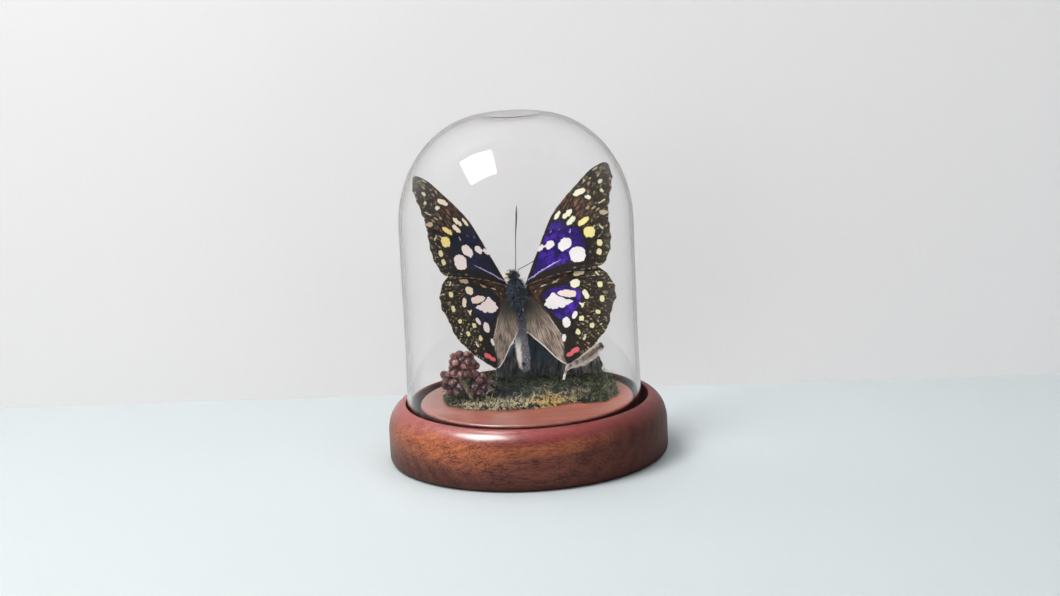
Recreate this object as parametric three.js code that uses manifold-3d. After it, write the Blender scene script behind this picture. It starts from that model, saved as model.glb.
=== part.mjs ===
// A mounted emperor butterfly with dried moss, bark, a leaf and a seed sprig, under a clear
// glass dome that stands in the groove of a turned wooden base.
// Millimetres, +Z up. The origin is the centre of the base's underside, and the butterfly
// faces -Y. Left and right are the viewer's.
import * as THREE from 'three';
import { mergeVertices } from 'three/addons/utils/BufferGeometryUtils.js';
import Module from 'manifold-3d';

// Base
const BASE_RADIUS = 50;
const BASE_HEIGHT = 20.8;
const RIM_INNER_RADIUS = 43.6;
const SHOULDER_DROP = 9.5;
const FOOT_ROUND = 2.5;
const GROOVE_FLOOR = 13.3;
const PLATEAU_RADIUS = 38.2;
const PLATEAU_EDGE_ROUND = 0.8;

// Glass
const GLASS_RADIUS = 41.5;
const GLASS_WALL = 1.3;
const GLASS_SHIFT = -0.9;
const GLASS_SHOULDER = 84.3;
const GLASS_FLARE = 0.9;
const FLARE_START = 46;
const GLASS_TOP = 123.1;
const CROWN_RADIUS = 8.25;
const FIT_GAP = 0.3;
const TURNED_SEGMENTS = 44;

// Butterfly
const WING_THICKNESS = 0.3;
const HINDWING_SETBACK = 0.7;
const THORAX_CENTRE = [-2, 13, 35.5];
const RIGHT_WINGS = { root: [0.9, 14, 38.9], turn: -20, back: 8, roll: 0 };
const LEFT_WINGS = { root: [-5.1, 14, 39], turn: 48.2, back: 20.2, roll: -2.5 };
const ANTENNA_RADIUS = 0.2;
const EYE_RADIUS = 0.95;
const THORAX_RADII = [3, 2.9, 5.1];
const HEAD_CENTRE = [-3.1, 12.3, 42.3];
const HEAD_RADII = [1.1, 1.5, 1.25];
const ABDOMEN_RADIUS = 2.25;

// Ground dressing
const MOSS_DEPTH = 2.4;
const BARK_FRONT = 15.4;
const BARK_THICKNESS = 8;
const SPLINTER_THICKNESS = 4.4;
const CAPSULE_RADIUS = 1.45;
const STEM_RADIUS = 0.7;
const TWIG_RADIUS = 0.45;

const wasm = await Module();
wasm.setup();

function finish(colour, roughness, metalness = 0) {
  return new THREE.MeshStandardMaterial({ color: colour, roughness, metalness });
}

const STAINED_WOOD = finish('#6b2f1f', 0.35);
const CLEAR_GLASS = finish('#eef4f5', 0.05);
CLEAR_GLASS.transparent = true;
CLEAR_GLASS.opacity = 0.25;
const DRIED_MOSS = finish('#5d6430', 0.95);
const DARK_BARK = finish('#2e2f33', 0.9);
const DRY_LEAF = finish('#8d8172', 0.8);
const TWIG = finish('#4b3527', 0.85);
const SEED_CAPSULE = finish('#6a3a33', 0.7);
const BODY_DOWN = finish('#31363f', 0.85);
const EYE = finish('#8a6a3a', 0.4);
const WING_VIOLET = finish('#241c4a', 0.45, 0.2);
const ANTENNA = finish('#16130f', 0.6);

function vectors(points) {
  return points.map(([x, y, z]) => new THREE.Vector3(x, y, z));
}

// Points of an elliptical arc about (r, z), from one angle to another in degrees.
function arc(r, z, radiusR, radiusZ, from, to, steps) {
  const points = [];
  for (let i = 0; i <= steps; i += 1) {
    const angle = THREE.MathUtils.degToRad(from + ((to - from) * i) / steps);
    points.push([r + radiusR * Math.cos(angle), z + radiusZ * Math.sin(angle)]);
  }
  return points;
}

// A solid of revolution about Z, from a profile of [radius, height] points.
function turned(profile, segments) {
  const points = profile.map(([r, z]) => new THREE.Vector2(Math.max(r, 0), z));
  return new THREE.LatheGeometry(points, segments).rotateX(Math.PI / 2);
}

// An outline in the X-Z plane, given a thickness towards -Y from the plane y.
function plate(outline, thickness, y) {
  const shape = new THREE.Shape(outline.map(([x, z]) => new THREE.Vector2(x, z)));
  const body = new THREE.ExtrudeGeometry(shape, { depth: thickness, bevelEnabled: false });
  return body.rotateX(Math.PI / 2).translate(0, y, 0);
}

// A solid rod of constant radius along a smooth path.
function rod(points, radius, steps, sides = 6) {
  const section = new THREE.Shape();
  for (let i = 0; i < sides; i += 1) {
    const angle = (2 * Math.PI * i) / sides;
    const x = radius * Math.cos(angle);
    const y = radius * Math.sin(angle);
    if (i === 0) {
      section.moveTo(x, y);
    } else {
      section.lineTo(x, y);
    }
  }
  section.closePath();
  const path = new THREE.CatmullRomCurve3(vectors(points));
  return new THREE.ExtrudeGeometry(section, { steps, bevelEnabled: false, extrudePath: path });
}

function ball(centre, radius) {
  return new THREE.IcosahedronGeometry(radius, 1).translate(...centre);
}

// An egg-shaped ball with its own radius on each axis.
function ellipsoid(radii, around = 14, along = 10) {
  return new THREE.SphereGeometry(1, around, along).rotateX(Math.PI / 2).scale(...radii);
}

function toManifold(geometry) {
  const bare = geometry.clone();
  bare.deleteAttribute('normal');
  bare.deleteAttribute('uv');
  const merged = mergeVertices(bare, 1e-4);
  const mesh = new wasm.Mesh({
    numProp: 3,
    vertProperties: new Float32Array(merged.attributes.position.array),
    triVerts: new Uint32Array(merged.index.array),
  });
  return new wasm.Manifold(mesh);
}

function toGeometry(manifold) {
  const mesh = manifold.getMesh();
  const geometry = new THREE.BufferGeometry();
  geometry.setAttribute('position', new THREE.BufferAttribute(mesh.vertProperties, 3));
  geometry.setIndex(new THREE.BufferAttribute(mesh.triVerts, 1));
  return geometry;
}

function joined(geometries) {
  return toGeometry(geometries.map(toManifold).reduce((whole, piece) => whole.add(piece)));
}

const specimen = new THREE.Group();

// What is under the glass is placed by its height above the raised middle of the base.
const underGlass = new THREE.Group();
underGlass.position.z = BASE_HEIGHT;
specimen.add(underGlass);

function addPiece(name, geometry, material, parent = underGlass) {
  const mesh = new THREE.Mesh(geometry, material);
  mesh.name = name;
  parent.add(mesh);
  return mesh;
}

// ---- Wooden base: one turned disc with a rounded rim, a groove and a raised middle ----

const shoulderHeight = BASE_HEIGHT - SHOULDER_DROP;
const shoulderWidth = BASE_RADIUS - RIM_INNER_RADIUS;
const baseProfile = [
  [0, 0],
  ...arc(BASE_RADIUS - FOOT_ROUND, FOOT_ROUND, FOOT_ROUND, FOOT_ROUND, -90, 0, 4),
  ...arc(RIM_INNER_RADIUS, shoulderHeight, shoulderWidth, SHOULDER_DROP, 0, 90, 6),
  [RIM_INNER_RADIUS, GROOVE_FLOOR],
  [PLATEAU_RADIUS, GROOVE_FLOOR],
  ...arc(
    PLATEAU_RADIUS - PLATEAU_EDGE_ROUND,
    BASE_HEIGHT - PLATEAU_EDGE_ROUND,
    PLATEAU_EDGE_ROUND,
    PLATEAU_EDGE_ROUND,
    0,
    90,
    2,
  ),
  [0, BASE_HEIGHT],
];
addPiece('wooden_base', turned(baseProfile, TURNED_SEGMENTS), STAINED_WOOD, specimen);

// ---- Glass dome: a blown bell of even wall, open and slightly flared at the foot ----

const shoulderRise = GLASS_TOP - GLASS_SHOULDER;
const glassFoot = GROOVE_FLOOR + FIT_GAP;

function bellSide(inset) {
  const radius = GLASS_RADIUS - inset;
  const reach = radius - CROWN_RADIUS;
  const flareMiddle = (FLARE_START + glassFoot) / 2;
  return [
    ...arc(CROWN_RADIUS, GLASS_SHOULDER, reach, shoulderRise - inset, 90, 0, 10),
    [radius, FLARE_START],
    [radius + GLASS_FLARE / 4, flareMiddle],
    [radius + GLASS_FLARE, glassFoot],
  ];
}

const glassProfile = [
  [0, GLASS_TOP - GLASS_WALL],
  ...bellSide(GLASS_WALL),
  ...bellSide(0).reverse(),
  [0, GLASS_TOP],
];
const dome = addPiece('glass_dome', turned(glassProfile, TURNED_SEGMENTS), CLEAR_GLASS, specimen);
dome.position.x = GLASS_SHIFT;

// ---- Bark: an upright broken piece, with the flat side to the front ----
// A narrow splinter of it stands up behind the butterfly's body and carries the thorax.

const BARK_OUTLINE = [
  [-10.5, 3.1],
  [28.6, 3.1],
  [28.2, 6],
  [26.8, 9.5],
  [22, 14.5],
  [15.5, 21],
  [10.5, 26.5],
  [6.5, 27.3],
  [4.6, 23.5],
  [1.4, 18.4],
  [-4.2, 14.3],
  [-9.2, 11.7],
];
const SPLINTER_OUTLINE = [
  [-3.6, 8],
  [1, 8],
  [0.9, 22],
  [0.4, 30],
  [0, 34.4],
  [-1.4, 36.2],
  [-3, 34.8],
  [-3.3, 28],
];
const splinterFront = THORAX_CENTRE[1] + THORAX_RADII[1] + FIT_GAP;
addPiece(
  'bark_piece',
  joined([
    plate(BARK_OUTLINE, BARK_THICKNESS, BARK_FRONT + BARK_THICKNESS),
    plate(SPLINTER_OUTLINE, SPLINTER_THICKNESS, splinterFront + SPLINTER_THICKNESS),
  ]),
  DARK_BARK,
);

// ---- Moss: a thin irregular mat on the raised middle, lowest at its edge ----

const MOSS_OUTLINE = [
  [31.8, 12],
  [29, 24],
  [18, 31],
  [2, 34],
  [-14, 31],
  [-24.5, 22],
  [-28, 10],
  [-28.3, -2.5],
  [-22, -12],
  [-9.6, -16.2],
  [4, -16.5],
  [17, -11.2],
  [25.8, -11.4],
  [31, -1],
];
const MOSS_CENTRE = [0, 9];
const MOSS_SEGMENTS = 36;
const mossEdge = new THREE.CatmullRomCurve3(
  vectors(MOSS_OUTLINE.map(([x, y]) => [x, y, 0])),
  true,
).getSpacedPoints(MOSS_SEGMENTS);

const mossProfile = [
  [0, 0],
  [1, 0],
  [1, 0.45],
  [0.93, 0.8],
  [0.7, 1],
  [0.35, 1],
  [0, 1],
];
const mossMat = turned(mossProfile, MOSS_SEGMENTS);
const mossPoints = mossMat.attributes.position;
for (let i = 0; i < mossPoints.count; i += 1) {
  const x = mossPoints.getX(i);
  const y = mossPoints.getY(i);
  const reach = Math.hypot(x, y);
  const turn = (Math.atan2(y, x) / (2 * Math.PI) + 1) % 1;
  const edge = mossEdge[Math.round(turn * MOSS_SEGMENTS) % MOSS_SEGMENTS];
  mossPoints.setXYZ(
    i,
    MOSS_CENTRE[0] + (edge.x - MOSS_CENTRE[0]) * reach,
    MOSS_CENTRE[1] + (edge.y - MOSS_CENTRE[1]) * reach,
    FIT_GAP + MOSS_DEPTH * mossPoints.getZ(i),
  );
}
addPiece('moss_bed', mossMat, DRIED_MOSS);

// ---- Dry leaf: a stalk and a narrow curled blade that leans on the bark ----

const LEAF_SPINE = [
  [13.6, 7, 3.9],
  [14.6, 7, 7.1],
  [16.2, 7, 9.1],
  [20.5, 7, 10.9],
  [25, 8, 13.7],
  [28.4, 8.5, 15.9],
];
const LEAF_HALF_WIDTHS = [0.35, 0.4, 0.9, 2, 2.3, 0.9];
const LEAF_THICKNESS = 0.5;
const LEAF_CURL = 0.35;
const LEAF_STEPS = 12;
const leafSpine = new THREE.CatmullRomCurve3(vectors(LEAF_SPINE));
const leafWidths = new THREE.SplineCurve(
  LEAF_HALF_WIDTHS.map((width, i) => new THREE.Vector2(i, width)),
);
const leafBlade = new THREE.BoxGeometry(1, 1, 1, LEAF_STEPS, 1, 4);
const leafPoints = leafBlade.attributes.position;
for (let i = 0; i < leafPoints.count; i += 1) {
  const along = leafPoints.getX(i) + 0.5;
  const across = 2 * leafPoints.getZ(i);
  const halfWidth = leafWidths.getPoint(along).y;
  const spot = leafSpine.getPoint(along);
  const heading = leafSpine.getTangent(along);
  const side = new THREE.Vector3(0, 1, 0).cross(heading).normalize().negate();
  spot.addScaledVector(side, across * halfWidth);
  spot.y += LEAF_THICKNESS * leafPoints.getY(i) + LEAF_CURL * halfWidth * across * across;
  leafPoints.setXYZ(i, spot.x, spot.y, spot.z);
}
addPiece('dry_leaf', leafBlade, DRY_LEAF);

// ---- Seed sprig: a woody stem and the capsules that crowd its forks ----

const SPRIG_STEM = [
  [-24.3, -3.6, 11.7],
  [-22.9, -4.6, 9.5],
  [-21, -7, 6.1],
  [-19.6, -8.2, 3.2],
];
addPiece('sprig_stem', rod(SPRIG_STEM, STEM_RADIUS, 8), TWIG);

const CAPSULE_FORKS = {
  capsule_cluster_top: {
    twig: [[-22.6, -5.4, 12.7], [-22.4, -5.8, 14.7], [-21.6, -6, 17.7]],
    capsules: [
      [-22.7, -4.2, 17.7],
      [-20.5, -6, 17.8],
      [-24.2, -6, 16.7],
      [-21.9, -7.4, 16.5],
      [-19.8, -4.6, 15.9],
      [-18.6, -6.2, 15.2],
      [-25.6, -4.6, 15.2],
      [-23.8, -7.4, 14.7],
      [-21.4, -8, 14.5],
      [-19.6, -6.8, 13.5],
      [-17.5, -5.2, 13.5],
      [-26, -6, 13.5],
      [-23.7, -7.4, 13],
      [-21.9, -5.4, 13.9],
    ],
  },
  capsule_cluster_left: {
    twig: [[-26.2, -4.4, 10.1], [-27.5, -4.6, 10.3], [-29, -4.4, 10.7]],
    capsules: [
      [-29, -4.2, 10.7],
      [-27.8, -5.2, 10.5],
      [-26.7, -3.8, 10.5],
    ],
  },
  capsule_cluster_low: {
    twig: [[-24.4, -7.8, 6.7], [-26, -7, 7.1], [-27.8, -6, 7.1]],
    capsules: [
      [-28.4, -6, 6.9],
      [-26.9, -7.8, 6.2],
      [-25.2, -7.6, 7.5],
      [-24, -9.2, 6.9],
      [-24.8, -9.8, 5.5],
      [-27, -6.4, 7.5],
    ],
  },
  capsule_cluster_right: {
    twig: [[-18.6, -6, 9.3], [-16.6, -7.2, 7.7], [-13.4, -8.2, 6.7]],
    capsules: [
      [-18.7, -5.6, 9.9],
      [-17, -6.2, 8.7],
      [-17.6, -8.6, 6.7],
      [-14.3, -6.6, 8.3],
      [-14.9, -9, 6.5],
      [-13.2, -8.8, 5.8],
    ],
  },
};
for (const [name, fork] of Object.entries(CAPSULE_FORKS)) {
  const seeds = fork.capsules.map((centre) => ball(centre, CAPSULE_RADIUS));
  addPiece(name, joined([rod(fork.twig, TWIG_RADIUS, 4), ...seeds]), SEED_CAPSULE);
}

// ---- Butterfly body: head, eyes, thorax and hanging abdomen ----

const thorax = addPiece('butterfly_thorax', ellipsoid(THORAX_RADII), BODY_DOWN);
thorax.position.set(...THORAX_CENTRE);

const head = addPiece('butterfly_head', ellipsoid(HEAD_RADII, 12, 8), BODY_DOWN);
head.position.set(...HEAD_CENTRE);
addPiece('eye_left', ball([-5.5, 11.8, 42.4], EYE_RADIUS), EYE);
addPiece('eye_right', ball([-0.7, 11.8, 42.3], EYE_RADIUS), EYE);

const ABDOMEN_SPINE = [
  [-1.6, 12.6, 30],
  [-1.3, 12.4, 25.5],
  [-0.6, 11.8, 17.5],
  [0.4, 10.6, 10.9],
  [1.1, 10, 7.3],
];
const abdomenLine = new THREE.CatmullRomCurve3(vectors(ABDOMEN_SPINE));
const abdomen = turned([[0, 0], ...arc(0, 0.5, 1, 0.5, -80, 80, 12), [0, 1]], 12);
const abdomenPoints = abdomen.attributes.position;
for (let i = 0; i < abdomenPoints.count; i += 1) {
  const along = 1 - abdomenPoints.getZ(i);
  const spot = abdomenLine.getPoint(along);
  abdomenPoints.setXYZ(
    i,
    spot.x + ABDOMEN_RADIUS * abdomenPoints.getX(i),
    spot.y + ABDOMEN_RADIUS * abdomenPoints.getY(i),
    spot.z,
  );
}
addPiece('butterfly_abdomen', abdomen, BODY_DOWN);

// One antenna stands up in front of the wings and the other passes behind the right forewing.
const ANTENNA_LEFT = [
  [-1.9, 11.4, 44.4],
  [-1.6, 8.4, 50.1],
  [-1.4, 6, 56.2],
  [-0.8, 4, 63.5],
  [-0.5, 3, 69],
];
const ANTENNA_RIGHT = [
  [-1, 12.6, 44.1],
  [0.6, 13.8, 44.6],
  [2.4, 15.6, 45.1],
  [5, 17, 46.3],
  [10.2, 18.4, 49.5],
  [15, 19.4, 53.9],
  [18, 20, 58.5],
];
addPiece('antenna_left', rod(ANTENNA_LEFT, ANTENNA_RADIUS, 14), ANTENNA);
addPiece('antenna_right', rod(ANTENNA_RIGHT, ANTENNA_RADIUS, 14), ANTENNA);

// ---- Wings: thin plates raised in a wide V, the hindwing behind the forewing ----
// Each outline is drawn on the wing's own plane, x outwards and z towards the head, with the
// wing root at the origin.

const FOREWING = [
  [0.9, -0.9],
  [1, 0.6],
  [3.2, 6.5],
  [5.3, 11.8],
  [7.8, 18.2],
  [10.9, 25],
  [15.5, 31],
  [20, 35.8],
  [24.6, 40.6],
  [29, 43.3],
  [31.6, 43.8],
  [33.2, 42.2],
  [33.9, 39.2],
  [33.8, 36],
  [33.1, 32],
  [32.6, 28],
  [32.6, 24],
  [33.2, 20],
  [33.5, 15.8],
  [33, 12.2],
  [30.7, 7.8],
  [28, 6.5],
  [21.5, 5.2],
  [14, 3.6],
  [7, 1.4],
];
const HINDWING = [
  [1.2, -0.6],
  [8, 3.6],
  [16, 6.3],
  [24, 7.2],
  [28.4, 6.4],
  [31, 4.8],
  [33.6, 2],
  [34.9, -1.2],
  [35.1, -4.4],
  [33.8, -7.8],
  [33.1, -11.4],
  [32, -15.2],
  [29.2, -18.8],
  [27, -21.4],
  [22.8, -24.8],
  [19.8, -27.2],
  [16.3, -29],
  [12.4, -27.1],
  [7.4, -22.8],
  [3.2, -19.3],
  [1.3, -17],
  [1.6, -12],
];

function addWingPair(side, placement) {
  const mirror = side === 'left' ? -1 : 1;
  const wings = new THREE.Group();
  wings.position.set(...placement.root);
  wings.rotation.order = 'ZXY';
  wings.rotation.set(
    THREE.MathUtils.degToRad(-placement.back),
    THREE.MathUtils.degToRad(-placement.roll),
    THREE.MathUtils.degToRad(placement.turn),
  );
  underGlass.add(wings);
  const mirrored = (outline) => {
    const points = outline.map(([x, z]) => [mirror * x, z]);
    return mirror < 0 ? points.reverse() : points;
  };
  addPiece(`forewing_${side}`, plate(mirrored(FOREWING), WING_THICKNESS, 0), WING_VIOLET, wings);
  addPiece(
    `hindwing_${side}`,
    plate(mirrored(HINDWING), WING_THICKNESS, HINDWING_SETBACK),
    WING_VIOLET,
    wings,
  );
}

addWingPair('left', LEFT_WINGS);
addWingPair('right', RIGHT_WINGS);

export default specimen;
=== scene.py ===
import math

import bpy
import numpy as np
from mathutils import Matrix, Vector, noise


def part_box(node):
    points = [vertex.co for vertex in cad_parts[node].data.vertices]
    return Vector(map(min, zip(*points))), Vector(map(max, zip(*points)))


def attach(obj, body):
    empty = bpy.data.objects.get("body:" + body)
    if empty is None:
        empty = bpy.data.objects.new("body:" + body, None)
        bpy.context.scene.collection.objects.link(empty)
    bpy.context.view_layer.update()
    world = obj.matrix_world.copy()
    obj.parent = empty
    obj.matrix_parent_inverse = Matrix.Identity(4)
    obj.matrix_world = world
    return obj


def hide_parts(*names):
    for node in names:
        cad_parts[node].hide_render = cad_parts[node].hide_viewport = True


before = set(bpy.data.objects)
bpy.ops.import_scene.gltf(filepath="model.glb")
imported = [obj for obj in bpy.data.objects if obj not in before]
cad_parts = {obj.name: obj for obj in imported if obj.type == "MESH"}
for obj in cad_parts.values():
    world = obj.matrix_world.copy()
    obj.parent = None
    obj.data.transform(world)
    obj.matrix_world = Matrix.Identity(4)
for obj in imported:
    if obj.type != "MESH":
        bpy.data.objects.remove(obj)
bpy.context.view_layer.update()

# ---- Wooden base ---------------------------------------------------------------------------
# A disc of hardwood turned on a lathe: a bold rounded rim, a groove that takes the foot of the
# glass, and a raised middle level with the rim. It is stained red-brown and lacquered.

MM = 0.001
BASE_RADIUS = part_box("wooden_base")[1].x
BASE_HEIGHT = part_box("wooden_base")[1].z
RIM_INNER_RADIUS = 43.6 * MM
SHOULDER_DROP = 9.5 * MM
FOOT_ROUND = 2.5 * MM
GROOVE_FLOOR = 13.3 * MM
PLATEAU_RADIUS = 38.2 * MM
EDGE_EASE = 0.8 * MM
TURNED_STEPS = 192
MERGE_GAP = 0.001 * MM

WOOD_DARK = (0.034, 0.010, 0.008)
WOOD_RED = (0.190, 0.058, 0.037)
WOOD_RIM = (0.350, 0.036, 0.032)
WOOD_AMBER = (0.700, 0.205, 0.075)
WOOD_MIDDLE = (0.330, 0.104, 0.070)
WOOD_MIDDLE_DARK = (0.190, 0.056, 0.038)
GROOVE_SHADE = (0.007, 0.002, 0.002)
HEART_BEHIND = 62 * MM
HEART_BELOW = 40 * MM
RINGS_PER_METRE = 1500
GROOVE_MIDDLE = (RIM_INNER_RADIUS + PLATEAU_RADIUS) / 2
FIGURE_CENTRE = (-32 * MM, -38 * MM, 14.5 * MM)
FIGURE_REACH = 20 * MM
BAND_HEIGHT = 14.2 * MM


def arc(centre, radii, start, end, steps):
    """Points of an elliptical arc, with its angles in degrees."""
    turns = np.radians(np.linspace(start, end, steps + 1))
    return [(centre[0] + radii[0] * math.cos(t), centre[1] + radii[1] * math.sin(t)) for t in turns]


def take(piece, *others):
    """Selects these pieces and nothing else, with the first one active."""
    bpy.ops.object.select_all(action="DESELECT")
    for one in (piece, *others):
        one.select_set(True)
    bpy.context.view_layer.objects.active = piece


def start_piece(name, operator, **settings):
    """Adds a primitive with nothing else selected, and names it."""
    bpy.ops.object.select_all(action="DESELECT")
    operator(**settings)
    piece = bpy.context.active_object
    piece.name = name
    piece.data.name = name
    bpy.ops.object.transform_apply(location=True, rotation=True, scale=True)
    return piece


def drawn(name, points):
    """A chain of edges drawn point by point, left in edit mode with its last point selected."""
    piece = start_piece(name, bpy.ops.mesh.primitive_plane_add, size=MM, location=points[0])
    bpy.ops.object.mode_set(mode="EDIT")
    bpy.ops.mesh.select_mode(type="VERT")
    bpy.ops.mesh.select_all(action="SELECT")
    bpy.ops.mesh.merge(type="CENTER")
    for here, there in zip(points, points[1:]):
        step = Vector(there) - Vector(here)
        bpy.ops.mesh.extrude_region_move(TRANSFORM_OT_translate={"value": step})
    return piece


def closed_up(piece):
    """Merges doubles, turns the faces outwards and leaves edit mode."""
    bpy.ops.mesh.select_all(action="SELECT")
    bpy.ops.mesh.remove_doubles(threshold=MERGE_GAP)
    bpy.ops.mesh.normals_make_consistent(inside=False)
    bpy.ops.object.mode_set(mode="OBJECT")
    return piece


def spun(name, profile, axis_x=0.0):
    """Spins a profile of (radius, height) points round an upright axis."""
    piece = drawn(name, [(axis_x + radius, 0, height) for radius, height in profile])
    bpy.ops.mesh.select_all(action="SELECT")
    bpy.ops.mesh.spin(steps=TURNED_STEPS, angle=2 * math.pi, center=(axis_x, 0, 0), axis=(0, 0, 1))
    return closed_up(piece)


def smoothed(piece, degrees=40):
    """Shades a piece smooth, apart from its edges that turn by more than an angle."""
    take(piece)
    bpy.ops.object.shade_smooth_by_angle(angle=math.radians(degrees))


class Wire:
    """One output of a tree's nodes, which takes part in ordinary sums."""

    def __init__(self, nodes, socket):
        self.nodes = nodes
        self.socket = socket

    def math(self, operation, *others):
        return self.nodes.node("Math", {"operation": operation}, dict(enumerate((self, *others))))

    def __add__(self, other):
        return self.math("ADD", other)

    def __mul__(self, other):
        return self.math("MULTIPLY", other)

    def __sub__(self, other):
        return self.math("SUBTRACT", other)

    def __rsub__(self, other):
        return self.nodes.node("Math", {"operation": "SUBTRACT"}, {0: other, 1: self})

    def __pow__(self, power):
        return self.math("POWER", power)

    def __neg__(self):
        return 0 - self

    def __abs__(self):
        return self.math("ABSOLUTE")

    __radd__ = __add__
    __rmul__ = __mul__

    def rise(self, low, high):
        """Goes smoothly from 0 at low to 1 at high."""
        inputs = {"Value": self, "From Min": low, "From Max": high}
        return self.nodes.node("MapRange", {"interpolation_type": "SMOOTHSTEP"}, inputs)

    def fall(self, low, high):
        """Goes smoothly from 1 at low to 0 at high."""
        return 1 - self.rise(low, high)


def away(first, *others):
    """How far off a place is, from its distances along two or three axes."""
    total = first ** 2
    for other in others:
        total = total + other ** 2
    return total ** 0.5


class Nodes:
    """A tree of nodes, filled one node at a time."""

    def __init__(self, tree):
        self.tree = tree

    def join(self, value, socket):
        """Sets a socket, or links it to a wire."""
        if isinstance(value, Wire):
            self.tree.links.new(value.socket, socket)
        elif socket.type == "RGBA":
            socket.default_value = (*value[:3], 1)
        else:
            socket.default_value = value

    def node(self, kind, settings=(), inputs=(), out=0):
        """Adds a node, sets it, fills its sockets and gives one output."""
        new = self.tree.nodes.new("ShaderNode" + kind)
        for key, value in dict(settings).items():
            setattr(new, key, value)
        for key, value in dict(inputs).items():
            self.join(value, new.inputs[key])
        return Wire(self, new.outputs[out])

    def split(self, where):
        """The three parts of a place."""
        apart = self.node("SeparateXYZ", (), {"Vector": where})
        return [Wire(self, socket) for socket in apart.socket.node.outputs]


class Finish(Nodes):
    """A material drawn with nodes round one Principled shader."""

    def __init__(self, name, plain):
        self.material = bpy.data.materials.new(name)
        self.material.use_nodes = True
        super().__init__(self.material.node_tree)
        self.shader = self.tree.nodes["Principled BSDF"]
        for key, value in plain.items():
            self.join(value, self.shader.inputs[key])
        self.place = self.node("TexCoord", out="Object")

    def give(self, key, value):
        """Sets one of the shader's sockets, or links it."""
        self.join(value, self.shader.inputs[key])

    def mix(self, share, first, second, blend="MIX"):
        """The first colour, with a share of the second over it."""
        settings = {"data_type": "RGBA", "blend_type": blend, "clamp_factor": True}
        return self.node("Mix", settings, {0: share, 6: first, 7: second}, out=2)

    def stretched(self, scale, where=None):
        """Places scaled along each axis, which are the piece's own if none are given."""
        return self.node("Mapping", (), {"Vector": where or self.place, "Scale": scale})

    def noise(self, where, scale=1.0, detail=2.0, roughness=0.5, bend=0.0):
        inputs = {"Vector": where, "Scale": scale, "Detail": detail}
        inputs.update({"Roughness": roughness, "Distortion": bend})
        return self.node("TexNoise", (), inputs)

    def carried(self, name, out="Fac"):
        """A value that the piece's own points carry."""
        return self.node("Attribute", {"attribute_name": name}, out=out)

    def bump(self, height, distance, strength=1.0):
        inputs = {"Height": height, "Distance": distance, "Strength": strength}
        self.give("Normal", self.node("Bump", (), inputs, out="Normal"))

    def on(self, *pieces):
        """Makes this the only material of these pieces."""
        for piece in pieces:
            piece.data.materials.clear()
            piece.data.materials.append(self.material)


shoulder_middle = (RIM_INNER_RADIUS, BASE_HEIGHT - SHOULDER_DROP)
shoulder_radii = (BASE_RADIUS - RIM_INNER_RADIUS, SHOULDER_DROP)
base_profile = [
    (0, 0),
    *arc((BASE_RADIUS - FOOT_ROUND, FOOT_ROUND), (FOOT_ROUND, FOOT_ROUND), -90, 0, 8),
    *arc(shoulder_middle, shoulder_radii, 0, 90, 24),
    (RIM_INNER_RADIUS, GROOVE_FLOOR),
    (PLATEAU_RADIUS, GROOVE_FLOOR),
    *arc((PLATEAU_RADIUS - EDGE_EASE, BASE_HEIGHT - EDGE_EASE), (EDGE_EASE, EDGE_EASE), 0, 90, 5),
    (PLATEAU_RADIUS / 2, BASE_HEIGHT),
    (0, BASE_HEIGHT),
]
base = spun("turned_base", base_profile)
smoothed(base)

wood = Finish(
    "lacquered stained wood", {"Specular IOR Level": 0.08, "Coat Roughness": 0.22, "Coat IOR": 1.85}
)
along, across, height = wood.split(wood.place)
sway = wood.noise(wood.stretched((11, 34, 34)), detail=3)
heart = away(across - HEART_BEHIND, height + HEART_BELOW)
rings = (heart * RINGS_PER_METRE + sway * 14).math("SINE") * 0.5 + 0.5
streaks = wood.noise(wood.stretched((45, 520, 520)), detail=5, roughness=0.68)
dashes = wood.noise(wood.stretched((230, 2500, 2500)), detail=3, roughness=0.7)
mottle = wood.noise(wood.stretched((30, 95, 95)), detail=3, roughness=0.6)
pores = wood.noise(wood.stretched((260, 3600, 3600)), detail=2).rise(0.55, 0.66)
reach = away(along, across)
top = height.rise(BASE_HEIGHT - 6.5 * MM, BASE_HEIGHT - 0.5 * MM)
middle = reach.fall(PLATEAU_RADIUS, PLATEAU_RADIUS + MM) * top
groove = abs(reach - GROOVE_MIDDLE).fall(2.8 * MM, 3.3 * MM)
groove = groove * height.fall(BASE_HEIGHT - 1.2 * MM, BASE_HEIGHT - 0.2 * MM)

# The figure is a curl of amber grain at the left front, and a band that runs on from it.
off = [axis - there for axis, there in zip((along, across, height), FIGURE_CENTRE)]
off_figure = away(off[0] * 0.62, off[1] * 0.6, (off[2] + off[0] * 0.12) * 2.4)
swept = wood.node("CombineXYZ", (), {0: along, 1: across, 2: height - along * 0.35})
ripple = wood.noise(wood.stretched((70, 260, 800), swept), detail=4, roughness=0.65, bend=0.4)
band = abs(height - along * 0.05 - BAND_HEIGHT).fall(0.8 * MM, 3.2 * MM)
band = band * abs(along - 2 * MM).fall(16 * MM, 34 * MM)
figure = off_figure.fall(0.2 * FIGURE_REACH, FIGURE_REACH) * ripple.rise(0.36, 0.62)
figure = figure.math("MAXIMUM", band * (0.1 + ripple * 0.7)) * (-across).rise(0, 20 * MM)

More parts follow.
